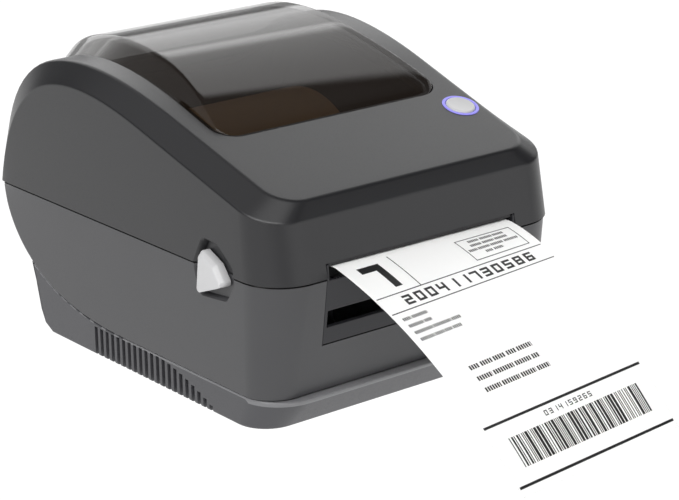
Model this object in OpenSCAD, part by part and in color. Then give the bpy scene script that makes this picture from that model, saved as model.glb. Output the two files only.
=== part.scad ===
// Desktop thermal label printer: lower housing on a bottom pan, hinged top cover with a raised
// smoked window, print mechanism, media roll and a printed label in the exit slot.
// Drawing frame: x = 0 at mid-width, y = 0 at the front edge of the parting line, z = 0 on the
// parting line. in_place() moves it so that the feet stand on z = 0 and y = 0 is at the middle of
// the part's depth, label included.

/* [Body] */
// Width over the parting line
body_w = 169; // [165:1:173]
// Depth over the parting line
body_d = 222; // [219:1:225]
// Height of the parting line above the table
seam_h = 71.5; // [71.5:0.5:75]
// Wall thickness of the housing and the cover
wall = 2.4; // [2.0:0.1:2.6]
// Gap between the cover and the housing
seam_gap = 0.7; // [0.5:0.1:0.9]
// Radius of the front corners, seen from above
corner_r = 21; // [18:1:24]
// Radius of the rear corners, seen from above
rear_r = 5; // [4:0.5:7]

/* [Cover] */
// Slope of the top behind the front edge, in degrees
top_slope = 17; // [16.5:0.5:17.5]
// Height of the front face's upper edge
brow_h = 26.4; // [25.5:0.5:27.5]
// Height of the bevel's upper edge at the front
top_front_h = 34.3; // [33.5:0.5:35]
// Width of the side bevel at the front
bevel_w = 13.1; // [12:0.5:14]
// Distance that the front face leans back
front_lean = 5.6; // [5:0.2:6.2]

/* [Window] */
// Distance from the body's side to the window's foot
window_side = 21; // [19.5:0.5:23]
// Front edge of the window
window_y = 61.5; // [60:0.5:63]
// Height of the window's crest above the parting line
window_crest = 77.6; // [76.5:0.5:79]
// Wall thickness of the window
window_t = 2; // [1.6:0.1:2.4]
// Radius of the window's front corners
window_r = 12; // [10:1:14]

/* [Front panel] */
// Width of the label exit
exit_w = 107.6; // [106:0.4:109]
// Height of the label exit above the parting line
exit_h = 6.5; // [6:0.1:7]
// Depth of the front panel below the parting line
panel_h = 31.5; // [29.5:0.5:32]
// Height of the front panel's finger slot
slot_h = 7.8; // [7:0.2:8.4]

/* [Media] */
// Width of the label
label_w = 101.6; // [100:0.2:102]
// Length of the label outside the exit slot, measured on the flat
label_out = 139; // [136:1:141]
// Thickness of the label web
web_t = 0.2; // [0.15:0.05:0.25]
// Radius of the loaded roll
roll_r = 45; // [38:1:46]
// Radius of the roll's core
core_r = 15; // [14.5:0.1:16]
// Wall thickness of the roll's core
core_t = 2.3; // [2:0.1:2.6]

/* [Print mechanism] */
// Radius of the platen roller
platen_r = 8; // [7.5:0.1:8.2]
// Length of the platen's rubber
platen_l = 104; // [102:1:105]
// Gear module
gear_m = 1; // [0.96:0.01:1.02]
// Thickness of the gears
gear_t = 4; // [3:0.5:4.5]
// Side length of the stepper motor's square flange
motor_w = 35; // [33:0.5:35.5]

/* [Controls] */
// Radius of the feed button
button_r = 7; // [6.6:0.1:7.1]
// Outer radius of the light ring
ring_r = 8.75; // [8.5:0.05:9]
// Distance that a release lever stands out from the side
lever_out = 5; // [4:0.5:6]

/* [Clearances] */
// Radial clearance of a running fit
run_fit = 0.05; // [0.03:0.01:0.08]
// Free gap between parts that move past each other
free_gap = 0.5; // [0.4:0.05:0.6]

/* [Hidden] */
$fn = 64;

shell_grey = [0.36, 0.36, 0.37];
panel_grey = [0.30, 0.30, 0.31];
dark_grey = [0.17, 0.17, 0.18];
steel = [0.72, 0.72, 0.74];
paper = [0.97, 0.97, 0.96];
light_grey = [0.87, 0.87, 0.87];

half_w = body_w / 2;
half_d = body_d / 2;
ridge_z = -seam_h + 17.5;
pan_z = -seam_h + 2.1;
pan_floor = pan_z + wall;

// Side-view curves: points are [y, z]
side_slope = top_slope - 1.7;
brow_back = 3.3;
top_front = [front_lean + brow_back, top_front_h];
side_front = [front_lean, brow_h];
function climb(p, slope, y) = [y, p.y + (y - p.x) * tan(slope)];
top_knee = climb(top_front, top_slope, body_d - 136);
top_arc = [top_knee, climb(top_front, top_slope, body_d - 100), [body_d - 1, 96], [body_d, 0]];
side_knee = climb(side_front, side_slope, body_d - 124.6);
side_arc = [side_knee, climb(side_front, side_slope, body_d - 78.7), [body_d - 17.2, 72.3],
    [body_d - 2, 0]];
ridge_arc = [[body_d - 102, ridge_z], [body_d + 14.8, ridge_z], [body_d - 2.3, 17.8],
    [body_d - 2.8, 0]];
roof_h = 69;
bevel_taper = 0.0335;
function bevel(y) = bevel_w - bevel_taper * y;
function top_z(y) = top_front_h + (y - top_front.x) * tan(top_slope);

// Cubic curve through its first and last points
function curve(p, u) = pow(1 - u, 3) * p[0] + 3 * pow(1 - u, 2) * u * p[1]
    + 3 * (1 - u) * u * u * p[2] + pow(u, 3) * p[3];
function curve_points(p, n) = [for (i = [1:n]) curve(p, i / n)];

// Quarter of a rounded corner seen from above, as [x, y], from the front edge to the side
function corner(y0, half, r, n = 8) =
    [for (i = [0:n]) let (a = 90 * i / n) [half - r * (1 - sin(a)), y0 + r * (1 - cos(a))]];
function rear_corner(y1, half, r, n = 5) =
    [for (i = [0:n]) let (a = 90 * i / n) [half - r * (1 - cos(a)), y1 - r * (1 - sin(a))]];
function both_sides(p) = concat(p, [for (q = p) [-q.x, q.y, q.z]]);

// Rounded solid round a cloud of points
module cloud(p) {
    hull() polyhedron(points = p, faces = [for (i = [0:len(p) - 3]) [i, i + 1, i + 2]]);
}

// Outer points of the top cover on its +x side
side_draft = 1;
bevel_r = 14;
seam_ring = concat(corner(0, half_w, corner_r), rear_corner(body_d, half_w, rear_r));
cover_points = concat(
    [for (q = seam_ring) [q.x, q.y, 0]],
    [for (q = corner(front_lean, half_w - side_draft, corner_r - 2))
        [q.x, q.y, brow_h + (q.y - front_lean) * tan(side_slope)]],
    [for (q = concat([side_knee], curve_points(side_arc, 12))) [half_w - side_draft, q.x, q.y]],
    [for (q = corner(top_front.x, half_w, bevel_r)) [q.x - bevel(q.y), q.y, top_z(q.y)]],
    [for (q = concat([top_knee], curve_points(top_arc, 14))) [half_w - bevel(q.x), q.x, q.y]]
);
function drawn_in(p, d) = [p.x * (half_w - d) / half_w,
    half_d + (p.y - half_d) * (half_d - d) / half_d, p.z * (roof_h - d) / roof_h];

// The cover's outer form drawn in by d, reaching below the parting line by floor_z
module cover_form(d, floor_z) {
    p = [for (q = cover_points) drawn_in(q, d)];
    f = [for (q = seam_ring) let (s = drawn_in([q.x, q.y, 0], d)) [s.x, s.y, -floor_z]];
    cloud(both_sides(concat(p, f)));
}

// The lower housing's outer form drawn in by d, reaching up to top_z
seam_step = 0.6;
housing_lean = 8;
housing_draft = 1.8;
rear_drop = 3;
function housing_points(d, top_at) = concat(
    [for (q = concat(corner(seam_step + d, half_w - seam_step - d, corner_r - d),
        rear_corner(body_d - seam_step - d, half_w - seam_step - d, rear_r))) [q.x, q.y, top_at]],
    [for (q = corner(housing_lean + d, half_w - housing_draft - d, corner_r - 5 - d / 2))
        [q.x, q.y, ridge_z + d]],
    [for (q = concat([ridge_arc[0]], curve_points(ridge_arc, 12)))
        [half_w - housing_draft - d, q.x - d * 0.8, min(q.y + d, top_at)]],
    [for (q = curve_points(ridge_arc, 12))
        [half_w - rear_r - d, min(q.x + 4, body_d) - seam_step - d, min(q.y + d, top_at)]]
);
module housing_form(d, top_at) {
    cloud(both_sides(housing_points(d, top_at)));
}

// The bottom pan's outer form drawn in by d, reaching above the ridge by rise
pan_ledge_y = 2.75;
pan_foot_y = 14;
pan_inset = 2;
pan_side = [[body_d - 25.5, seam_h - 107.8], [body_d - 27.9, seam_h - 120.6],
    [body_d - 30.9, seam_h - 132.2], [body_d - 34, seam_h - 138], [body_d - 40, seam_h - 140.9]];
module pan_form(d, rise) {
    cloud(both_sides(concat(
        [for (q = corner(pan_ledge_y + d, half_w - pan_inset - d, corner_r - d))
            [q.x, q.y, ridge_z - 0.7 + rise]],
        [for (q = corner(pan_foot_y + d, half_w - pan_inset - d, corner_r - 5 - d))
            [q.x, q.y, pan_z + d]],
        [for (i = [0:4], p = [[pan_inset, 0], [rear_r, 3]]) [half_w - p.x - d,
            pan_side[i].x + p.y - d, max(pan_side[i].y, pan_z + d) + (i == 0 ? rise : 0)]]
    )));
}

// Places: points are [y, z] in the side view
hinge_at = [body_d - 1.5, -0.35];
hinge_x = half_w - 29.5;
knuckle_r = 3.2;
knuckle_w = 14;
lug_w = 8;
knuckle_gap = 0.4;
pin_r = 1.5;
platen_at = [17, 3.3 - platen_r];
web_at_nip = 3.75;
latch_at = [46.6, -8.2];
latch_shaft_r = 2.2;
catch_at = [44.5, 4];
catch_r = 1.6;
roll_at = [body_d - 74, -8];
lug_end = knuckle_w / 2 + knuckle_gap + lug_w;
pad_x = half_w - 5.5;
pad_t = 4.3;
button_at = [half_w - 22, 47.5];
frame_x = label_w / 2 + 7.2;
frame_t = 2;
gear_x = frame_x + frame_t + 0.8;

// Mid-depth of the whole part, from the label's free end to the hinge
origin_y = (hinge_at.x + knuckle_r - 120 * label_out / 139) / 2;
module in_place() {
    translate([0, -origin_y, seam_h]) children();
}
// Turns a side-view outline into a solid from x0 to x1
module across(x0, x1) {
    translate([x0, 0, 0]) rotate([90, 0, 90]) linear_extrude(x1 - x0) children();
}
// A round bar along x, from x0 to x1, at a side-view point
module bar(p, r, x0, x1) {
    translate([x0, p.x, p.y]) rotate([0, 90, 0]) cylinder(r = r, h = x1 - x0);
}
module mirrored() {
    children();
    mirror([1, 0, 0]) children();
}
// The housing's two lugs at each hinge, longer by spare at each end
module lugs(r, spare) {
    near = knuckle_w / 2 + knuckle_gap - spare;
    far = near + lug_w + 2 * spare;
    mirrored() {
        bar(hinge_at, r, hinge_x + near, hinge_x + far);
        bar(hinge_at, r, hinge_x - far, hinge_x - near);
    }
}
// A box given by its low and high corners
module block(lo, hi) {
    translate(lo) cube(hi - lo);
}
// Places children on the sloping top, standing square to it
module on_top(p) {
    translate([p.x, p.y, top_z(p.y)]) rotate([top_slope, 0, 0]) children();
}
// An outline from above, with rounded front corners
module plan_outline(y0, y1, half, r) {
    p = concat(corner(y0, half, r, 12), rear_corner(y1, half, r, 12));
    n = len(p);
    polygon(concat(p, [for (i = [n - 1:-1:0]) [-p[i].x, p[i].y]]));
}

// Release lever: outline, thumb recess and turn
lever_tip_r = 1.5;
lever_points = [[48.8, 5.5], [48, -10.5], [36, -5], [39, 1.2]];
lever_mid = [44.5, -3.5];
recess_points = [[46.5, 8.5], [40, 8.5], [31.5, 2], [31.5, -3], [37, -9.5], [52, -11], [54, -3]];
recess_r = 3;
module lever_outline(r) {
    hull() for (p = lever_points) translate(p) circle(r = r, $fn = 32);
}
module recess_outline() {
    hull() for (p = recess_points) translate(p) circle(r = recess_r, $fn = 32);
}
recess_x = half_w - 3.7;

// ---- Fixed parts ----
vent_n = 21;
vent_pitch = 4.62;
vent_w = 2.6;
vent_last_y = body_d - 82;
vent_full_n = 12;
function vent_top(i) = i < vent_full_n ? ridge_z - 1.2
    : ridge_z - 1.2 - 12.5 * pow((i - vent_full_n + 1) / (vent_n - vent_full_n + 1), 1.6);

port_z = -51;
port_y = body_d - 23.6;
port_low = pan_floor + 8.4;
jack_x = half_w - 34.5;
usb_x = jack_x - 24;
switch_x = 32.5 - half_w;
foot_r = 7;
foot_seat = 0.8;
foot_x = half_w - 22.5;
foot_y = [36, body_d - 48];
// base screws, as [x, y]
screw_x = half_w - 8.5;
screw_y = [38, body_d - 54];
screw_at = [for (y = screw_y, x = [-screw_x, screw_x]) [x, y]];

module lower_housing() {
    color(shell_grey) in_place() difference() {
        union() {
            difference() {
                housing_form(0, -seam_gap);
                housing_form(wall, 2);
            }
            mirrored() block([pad_x, 20, -24], [pad_x + pad_t - 0.6, 62, -seam_gap]);
            lugs(knuckle_r, 0);
            for (p = screw_at) translate([p.x, p.y, ridge_z - 1]) cylinder(r = 3.6, h = 11);
        }
        // pilot holes of the base screws
        for (p = screw_at) translate([p.x, p.y, ridge_z - 2]) cylinder(r = 1.5, h = 9);
        // bottom opening
        translate([0, 0, ridge_z - 1.5]) linear_extrude(18) plan_outline(17, body_d - 52, half_w - 12, 12);
        block([12 - half_w, body_d - 72, ridge_z - 1.5], [half_w - 12, body_d - 34, ridge_z + 16.5]);
        // front panel opening
        block([-exit_w / 2 - 0.7, -1, -panel_h - 0.5], [exit_w / 2 + 0.7, 12, 1]);
        // rear edge under the cover, on both sides of each hinge
        mirrored() for (s = [[0, hinge_x - lug_end], [hinge_x + lug_end, half_w - 4.5]])
            block([s[0] - 0.1, body_d - 8, -rear_drop], [s[1], body_d + 3, 1]);
        mirrored() block([half_w - 4.6, body_d - 3.5, 0.6 - rear_drop], [half_w + 1, body_d + 3, 1]);
        mirrored() bar(hinge_at, knuckle_r + free_gap, hinge_x - knuckle_w / 2 - knuckle_gap,
            hinge_x + knuckle_w / 2 + knuckle_gap);
        mirrored() bar(hinge_at, pin_r, hinge_x - 20, hinge_x + 20);
        // thumb recesses and the latch shaft
        mirrored() across(recess_x, half_w + 2) recess_outline();
        mirrored() bar(latch_at, latch_shaft_r + run_fit, pad_x - 2, half_w);
        // fan-fold slot
        block([-exit_w / 2 - 0.2, body_d - 17, -17], [exit_w / 2 + 0.2, body_d + 2, -11.5]);
    }
}

module base_pan() {
    color(panel_grey) in_place() difference() {
        union() {
            difference() {
                pan_form(0, 0);
                intersection() {
                    pan_form(wall, 3);
                    translate([0, 0, -seam_h]) linear_extrude(seam_h)
                        plan_outline(housing_lean + 1, body_d + 20, half_w - 4, corner_r - 5);
                }
                housing_form(0, 3);
            }
            for (p = screw_at) translate([p.x, p.y, pan_floor - 0.5])
                cylinder(r = 4.5, h = ridge_z - pan_floor - 1);
            for (x = [-board_x + 4, board_x - 4], y = [board_y[0] + 4, board_y[1] - 4])
                translate([x, y, pan_floor - 0.5]) cylinder(r = 3, h = 5.5);
            for (x = [jack_x - 32, jack_x + 8]) translate([x, body_d - 44, pan_floor - 0.5])
                cylinder(r = 2.5, h = 7.5);
        }
        for (i = [0:vent_n - 1]) mirrored()
            block([half_w - 7, vent_last_y - i * vent_pitch - vent_w / 2, pan_z - 1],
                [half_w + 1, vent_last_y - i * vent_pitch + vent_w / 2, vent_top(i)]);
        for (x = [-foot_x, foot_x], y = foot_y)
            translate([x, y, pan_z - 1]) cylinder(r = foot_r, h = 1 + foot_seat);
        for (p = screw_at) translate([p.x, p.y, 0]) {
            translate([0, 0, pan_z - 1]) cylinder(r = 3.4, h = 3.4);
            translate([0, 0, pan_z]) cylinder(r = 1.7, h = 30);
        }
        block([jack_x - 5.2, port_y - 20, port_low], [jack_x + 5.2, port_y + 10, port_z + 5.7]);
        block([usb_x - 6.4, port_y - 20, port_low], [usb_x + 6.4, port_y + 10, port_z + 5.7]);
        block([switch_x - 10.7, port_y - 20, port_z - 7.2],
            [switch_x + 10.7, port_y + 10, port_z + 7.2]);
    }
}

module foot(x, y) {
    color(dark_grey) in_place() translate([x, y, -seam_h]) {
        cylinder(r = foot_r, h = pan_z + foot_seat + seam_h);
    }
}
module foot_1() { foot(-foot_x, foot_y[0]); }
module foot_2() { foot(foot_x, foot_y[0]); }
module foot_3() { foot(-foot_x, foot_y[1]); }
module foot_4() { foot(foot_x, foot_y[1]); }

module base_screw(p) {
    color(steel) in_place() translate([p.x, p.y, pan_z + 0.6]) difference() {
        union() {
            cylinder(r = 2.8, h = 1.8);
            cylinder(r = 1.5, h = 19);
        }
        translate([0, 0, -0.1]) cylinder(r = 1.2, h = 1.1, $fn = 6);
    }
}
module base_screw_1() { base_screw(screw_at[0]); }
module base_screw_2() { base_screw(screw_at[1]); }
module base_screw_3() { base_screw(screw_at[2]); }
module base_screw_4() { base_screw(screw_at[3]); }

panel_lean = (housing_lean - seam_step) / -ridge_z;
panel_t = 3;
panel_top = -1;
slot_top = -15.8;
module front_panel() {
    function face_y(z) = seam_step - z * panel_lean;
    color(panel_grey) in_place() difference() {
        across(-exit_w / 2 - 0.4, exit_w / 2 + 0.4)
            polygon([[face_y(0) + 0.3, exit_h - 0.3], [face_y(0), 0], [face_y(-panel_h), -panel_h],
                [face_y(-panel_h) + panel_t, -panel_h], [face_y(0) + panel_t, 0],
                [face_y(0) + panel_t, exit_h - 0.3]]);
        block([-exit_w / 2 + 0.7, -2, panel_top], [exit_w / 2 - 0.7, 12, exit_h + 1]);
        block([-exit_w / 2 + 1.2, -2, slot_top - slot_h], [exit_w / 2 - 1.2, 12, slot_top]);
    }
}

tooth_pitch = 1.6;
tooth_h = 1.1;
tooth_n = floor((exit_w - 5.2) / tooth_pitch);
module tear_bar() {
    x0 = -tooth_n * tooth_pitch / 2;
    color(steel) in_place() translate([0, 0, panel_top]) linear_extrude(0.7)
        polygon(concat([[-x0, 3.4], [x0, 3.4]],
            [for (i = [0:2 * tooth_n]) [x0 + i * tooth_pitch / 2, i % 2 == 0 ? 1.4 : 1.4 - tooth_h]]));
}

// Media bay: a chute and a trough under the roll
bay_r = roll_r + 3.5;
bay_t = 2;
bay_start = [66, -7];
bay_half = half_w - 12.3;
bay_rear_a = -14;
function reach(p, q) = norm(q - p);
function bearing(p, q) = atan2(q.y - p.y, q.x - p.x);
function lower_touch(p, c, r) = bearing(p, c) - asin(r / reach(p, c)) - 90;
function on_circle(c, r, a) = c + r * [cos(a), sin(a)];
module bay_liner() {
    a0 = lower_touch(bay_start, roll_at, bay_r);
    steps = 18;
    inner = concat([bay_start], [for (i = [0:steps])
        on_circle(roll_at, bay_r, a0 + (bay_rear_a - a0) * i / steps)]);
    outer = concat([bay_start + [0, -bay_t - 0.5]], [for (i = [0:steps])
        on_circle(roll_at, bay_r + bay_t, a0 + (bay_rear_a - a0) * i / steps)]);
    n = len(outer);
    color(dark_grey) in_place() difference() {
        union() {
            across(-bay_half, bay_half)
                polygon(concat(inner, [for (i = [n - 1:-1:0]) outer[i]]));
            for (x = [-foot_x + 22, foot_x - 22], y = [-22, 22]) translate([x, roll_at.x + y, pan_floor])
                cylinder(r = 3.5, h = -pan_floor + roll_at.y - sqrt(pow(bay_r + 0.6, 2) - 22 * 22));
        }
        mirrored() block([label_w / 2 - 0.6, roll_at.x - 4, -62],
            [guide_x + guide_t + guide_travel + 1.2, roll_at.x + 4, -50]);
    }
}

deck_y = [27, 64];
deck_top = -1.5;
module media_deck() {
    color(dark_grey) in_place() difference() {
        union() {
            block([-frame_x, deck_y[0], deck_top - 2], [frame_x, deck_y[1], deck_top]);
            bar([deck_y[1], deck_top - 1], 1, -frame_x, frame_x);
            block([-frame_x, deck_y[1] - 4, -14], [frame_x, deck_y[1] - 2, deck_top - 1]);
        }
        block([-7, 36, deck_top - 3], [7, 44, deck_top + 1]);
    }
}

module gap_sensor() {
    color([0.10, 0.10, 0.12]) in_place() difference() {
        block([-7, 36, deck_top - 2.6], [7, 44, deck_top - 0.2]);
        translate([0, 40, deck_top - 0.9]) cylinder(r = 2, h = 2);
    }
}

// Side plates of the print mechanism
module frame_plate() {
    difference() {
        across(frame_x, frame_x + frame_t)
            polygon([[10, 0], [24, 0], [28, -1], [60, -1], [62, -4], [62, pan_floor],
                [19, pan_floor], [19, -46], [10, -36]]);
        bar(platen_at, platen_shaft_r + run_fit, frame_x - 1, frame_x + 4);
        bar(latch_at, latch_shaft_r + 1, frame_x - 1, frame_x + 4);
        bar([40, -56], 4, frame_x - 1, frame_x + 4);
    }
}
platen_n = 22;
idler_n = 18;
pinion_n = 12;
train_a = -51;
idler_at = platen_at + gear_m * (platen_n + idler_n) / 2 * [cos(train_a), sin(train_a)];
motor_at = idler_at + gear_m * (idler_n + pinion_n) / 2 * [cos(train_a), sin(train_a)];
platen_shaft_r = 3;
stud_r = 2;
motor_shaft_r = 2.5;
motor_l = 24;
module side_frame_left() {
    color(steel) in_place() {
        difference() {
            mirror([1, 0, 0]) frame_plate();
            bar(motor_at, 6, -frame_x - 4, -frame_x + 1);
        }
        bar(idler_at, stud_r, -gear_x - gear_t - 1.4, -frame_x - 1);
    }
}
module side_frame_right() {
    color(steel) in_place() frame_plate();
}

module head_rail() {
    color(steel) in_place() block([-frame_x, 57, -52], [frame_x, 59, -30]);
}

module stepper_motor() {
    color(steel) in_place() difference() {
        union() {
            across(-frame_x, -frame_x + 2) translate(motor_at) square(motor_w, center = true);
            bar(motor_at, motor_w / 2 - 0.5, -frame_x + 2, -frame_x + motor_l);
            bar(motor_at, 5.5, -frame_x - 1.2, -frame_x + 1);
        }
        bar(motor_at, motor_shaft_r + run_fit, -frame_x - 2, -frame_x + 4);
    }
}

board_z = pan_floor + 5;
board_x = half_w - 14.5;
board_y = [65, body_d - 105];
module main_board() {
    color([0.10, 0.32, 0.20]) in_place() {
        block([-board_x, board_y[0], board_z], [board_x, board_y[1], board_z + 1.6]);
        block([-30, 82, board_z + 1.6], [-12, 100, board_z + 3.2]);
        block([10, 84, board_z + 1.6], [22, 96, board_z + 2.8]);
        block([46, 76, board_z + 1.6], [60, 82, board_z + 6]);
        for (x = [-56, -44, 34]) translate([x, 92, board_z + 1.6]) cylinder(r = 4, h = 8);
    }
}

module port_board() {
    block([jack_x - 38, body_d - 47, pan_floor + 7], [jack_x + 14, body_d - 32, pan_floor + 8.5]);
}
jack_bore_r = 2.75;
module dc_jack() {
    color(dark_grey) in_place() {
        port_board();
        difference() {
            block([jack_x - 5, port_y - 14, pan_floor + 8.5], [jack_x + 5, port_y, port_z + 5.5]);
            translate([jack_x, port_y + 1, port_z]) rotate([90, 0, 0]) cylinder(r = jack_bore_r, h = 11);
        }
    }
}
module usb_port() {
    color(steel) in_place() difference() {
        block([usb_x - 6.1, port_y - 14, pan_floor + 8.5], [usb_x + 6.1, port_y, port_z + 5.5]);
        difference() {
            block([usb_x - 4.3, port_y - 10, port_z - 4], [usb_x + 4.3, port_y + 1, port_z + 4]);
            block([usb_x - 2.8, port_y - 11, port_z - 1.5], [usb_x + 2.8, port_y - 1, port_z + 1.5]);
        }
    }
}

rocker_half = 6.2;
module switch_frame() {
    color(dark_grey) in_place() difference() {
        union() {
            block([switch_x - 10.5, port_y - 13, port_z - 7], [switch_x + 10.5, port_y + 1, port_z + 7]);
            block([switch_x - 12, port_y, port_z - 8.5], [switch_x + 12, port_y + 1, port_z + 8.5]);
        }
        block([switch_x - 9, port_y - 11, port_z - rocker_half - 0.6],
            [switch_x + 9, port_y + 2, port_z + rocker_half + 0.6]);
        bar([port_y - 3, port_z], 1 + run_fit, switch_x - 10, switch_x + 10);
    }
}

// Printed web: from the underside of the roll, over the deck and the platen, out of the slot
web_left = [[0, 4.6], [-42, -5], [-84, -27], [-120, -62]];
web_right = [[0, 3.8], [-30, 0], [-74, -26], [-108, -62.6]];
web_steps = 22;
module label_web() {
    lift = roll_r + free_gap;
    nose = [deck_y[1] + 1.2, deck_top - 0.2];
    touch = lower_touch(nose, roll_at, lift);
    inside = concat([for (a = [24:-6:0]) on_circle(roll_at, lift, touch + a)],
        [nose, [deck_y[1], deck_top + 0.2],
        [platen_at.x + 4, web_at_nip], [platen_at.x - 4, web_at_nip]]);
    function scaled(p, u) = curve(p, u) * (label_out / 139);
    left = concat(inside, [for (i = [0:web_steps]) scaled(web_left, i / web_steps)]);
    right = concat(inside, [for (i = [0:web_steps]) scaled(web_right, i / web_steps)]);
    n = len(left);
    across_n = 6;
    row = across_n + 1;
    function lane(i, j, up) = let (q = left[i] * (1 - j / across_n) + right[i] * j / across_n)
        let (a = left[max(i - 1, 0)], b = left[min(i + 1, n - 1)], t = (b - a) / norm(b - a))
        [label_w * (j / across_n - 0.5), q.x + up * t.y * web_t / 2, q.y - up * t.x * web_t / 2];
    top = [for (i = [0:n - 1], j = [0:across_n]) lane(i, j, 1)];
    low = [for (i = [0:n - 1], j = [0:across_n]) lane(i, j, -1)];
    m = n * row;
    function quad(a, b, c, d) = [[a, b, c], [a, c, d]];
    faces = concat(
        [for (i = [0:n - 2], j = [0:across_n - 1], f = quad(i * row + j, i * row + j + 1,
            (i + 1) * row + j + 1, (i + 1) * row + j)) f],
        [for (i = [0:n - 2], j = [0:across_n - 1], f = quad(m + i * row + j, m + (i + 1) * row + j,
            m + (i + 1) * row + j + 1, m + i * row + j + 1)) f],
        [for (i = [0:n - 2], f = quad(i * row, (i + 1) * row, m + (i + 1) * row, m + i * row)) f],
        [for (i = [0:n - 2], f = quad(i * row + across_n, m + i * row + across_n,
            m + (i + 1) * row + across_n, (i + 1) * row + across_n)) f],
        [for (j = [0:across_n - 1], f = quad(j, m + j, m + j + 1, j + 1)) f],
        [for (j = [0:across_n - 1], e = (n - 1) * row, f = quad(e + j, e + j + 1,
            m + e + j + 1, m + e + j)) f]
    );
    color(paper) in_place() polyhedron(points = concat(top, low), faces = faces);
}

module hinge_pin(s) {
    color(steel) in_place() bar(hinge_at, pin_r, s * hinge_x - lug_end, s * hinge_x + lug_end);
}
module hinge_pin_left() { hinge_pin(-1); }
module hinge_pin_right() { hinge_pin(1); }

// ---- Top cover ----
window_half = half_w - window_side;
window_end_y = body_d - 14;
window_low = top_z(window_y) - 0.4;
window_top_y = body_d - 70;
window_rise = [[window_y, window_low], [window_y + 20.5, 63.5],
    [window_top_y - 34, window_crest], [window_top_y, window_crest]];
window_fall = [[window_top_y, window_crest], [window_top_y + 30, window_crest],
    [window_end_y - 2, 70], [window_end_y, 47]];
roof_y = body_d - 64;
crease_in = 11;
crease_l = 65;
window_drop = 6;
// The window's outer form drawn in by d
module window_form(d) {
    profile = concat(curve_points(window_rise, 12), curve_points(window_fall, 12));
    foot = concat(corner(window_y + d, window_half - d, window_r),
        [for (y = [window_y + 20:10:window_end_y - 20]) [window_half - d, y]],
        rear_corner(window_end_y - d, window_half - d, 16));
    function roof_at(y) = y < top_knee.x ? top_z(y) : y < roof_y
        ? top_knee.y + (roof_h - top_knee.y) * sin(90 * (y - top_knee.x) / (roof_y - top_knee.x))
        : roof_h - 22 * pow((y - roof_y) / (window_end_y - roof_y), 2.4);
    // half-width of the roof's crease, inside the foot's rounded corners
    function crease(y) = min(
        window_half - crease_in * pow(sin(90 * min((y - window_y) / crease_l, 1)), 1.2),
        window_half - window_r + sqrt(pow(window_r, 2) - pow(max(window_r - y + window_y, 0), 2)),
        window_half - 16 + window_end_y - y);
    cloud(both_sides(concat(
        [for (q = foot) [q.x, q.y, roof_at(q.y)]],
        [for (q = foot) [q.x, q.y, roof_at(q.y) - window_drop - d]],
        [for (p = profile) [crease(p.x) - d, min(max(p.x, window_y + d), window_end_y - d), p.y - d]]
    )));
}

exit_lip_y = 1.8;
exit_lip_z = 5;
module top_cover() {
    stem = [[-9.5, 2], [9.5, 2], [0, -10.5]];
    color(shell_grey) in_place() difference() {
        union() {
            difference() {
                cover_form(0, 0);
                cover_form(wall, 3);
            }
            mirrored() block([pad_x, 20, 0], [half_w - 1, 62, 15]);
            mirrored() bar(hinge_at, knuckle_r, hinge_x - knuckle_w / 2, hinge_x + knuckle_w / 2);
            for (p = stem) on_top(button_at) translate([p.x, p.y, -8]) cylinder(r = 1.6, h = 7);
        }
        // exit slot, with a lip behind its upper edge
        difference() {
            block([-exit_w / 2 - 0.7, -1, -1], [exit_w / 2 + 0.7, 12, exit_h]);
            block([1.2 - exit_w / 2, exit_lip_y, exit_lip_z], [exit_w / 2 - 1.2, 14, exit_h + 1]);
        }
        // window opening
        translate([0, 0, 30]) linear_extrude(60)
            plan_outline(window_y - 0.4, window_end_y + 0.4, window_half + 0.4, window_r);
        // hinge
        lugs(knuckle_r + free_gap, knuckle_gap);
        mirrored() bar(hinge_at, pin_r + run_fit, hinge_x - 20, hinge_x + 20);
        // thumb recesses
        mirrored() across(recess_x, half_w + 2) recess_outline();
        mirrored() bar(catch_at, catch_r, pad_x - 4, pad_x + 1.5);
        // button
        on_top(button_at) translate([0, 0, -8]) cylinder(r = ring_r, h = 12);
    }
}

module window() {
    color([0.13, 0.11, 0.10, 0.75]) in_place() difference() {
        window_form(0);
        window_form(window_t);
        cover_form(wall, 3);
    }
}

frame_out = 5;
frame_in = 4;
module window_frame() {
    function top_line(d) = [for (q = concat([top_front, top_knee], curve_points(top_arc, 14)))
        let (p = drawn_in([0, q.x, q.y], d)) [p.y, p.z]];
    upper = top_line(wall);
    lower = top_line(wall + 2);
    n = len(upper);
    color(dark_grey) in_place() intersection() {
        across(-window_half - frame_out, window_half + frame_out)
            polygon(concat(upper, [for (i = [n - 1:-1:0]) lower[i]]));
        linear_extrude(100) difference() {
            plan_outline(window_y - frame_out, window_end_y - 2, window_half + frame_out,
                window_r + frame_in);
            plan_outline(window_y + frame_in, window_end_y - 14, window_half - frame_in,
                window_r - 3);
        }
    }
}

ring_t = 2.6;
module light_ring() {
    color([0.56, 0.54, 0.84]) in_place() on_top(button_at) difference() {
        translate([0, 0, 0.3 - ring_t]) cylinder(r = ring_r, h = ring_t);
        translate([0, 0, -ring_t - 1]) cylinder(r = button_r + 0.3, h = 10);
    }
}
module button_board() {
    color([0.10, 0.32, 0.20]) in_place() on_top(button_at) {
        translate([-12, -12, -9.6]) cube([24, 18, 1.6]);
        translate([-3, -3, -8]) cube([6, 6, 2.2]);
    }
}
module feed_button() {
    color(light_grey) in_place() on_top(button_at) {
        translate([0, 0, -2.4]) cylinder(r = button_r, h = 3.2);
        translate([0, 0, -4.8]) cylinder(r = 2, h = 4);
    }
}

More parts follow.
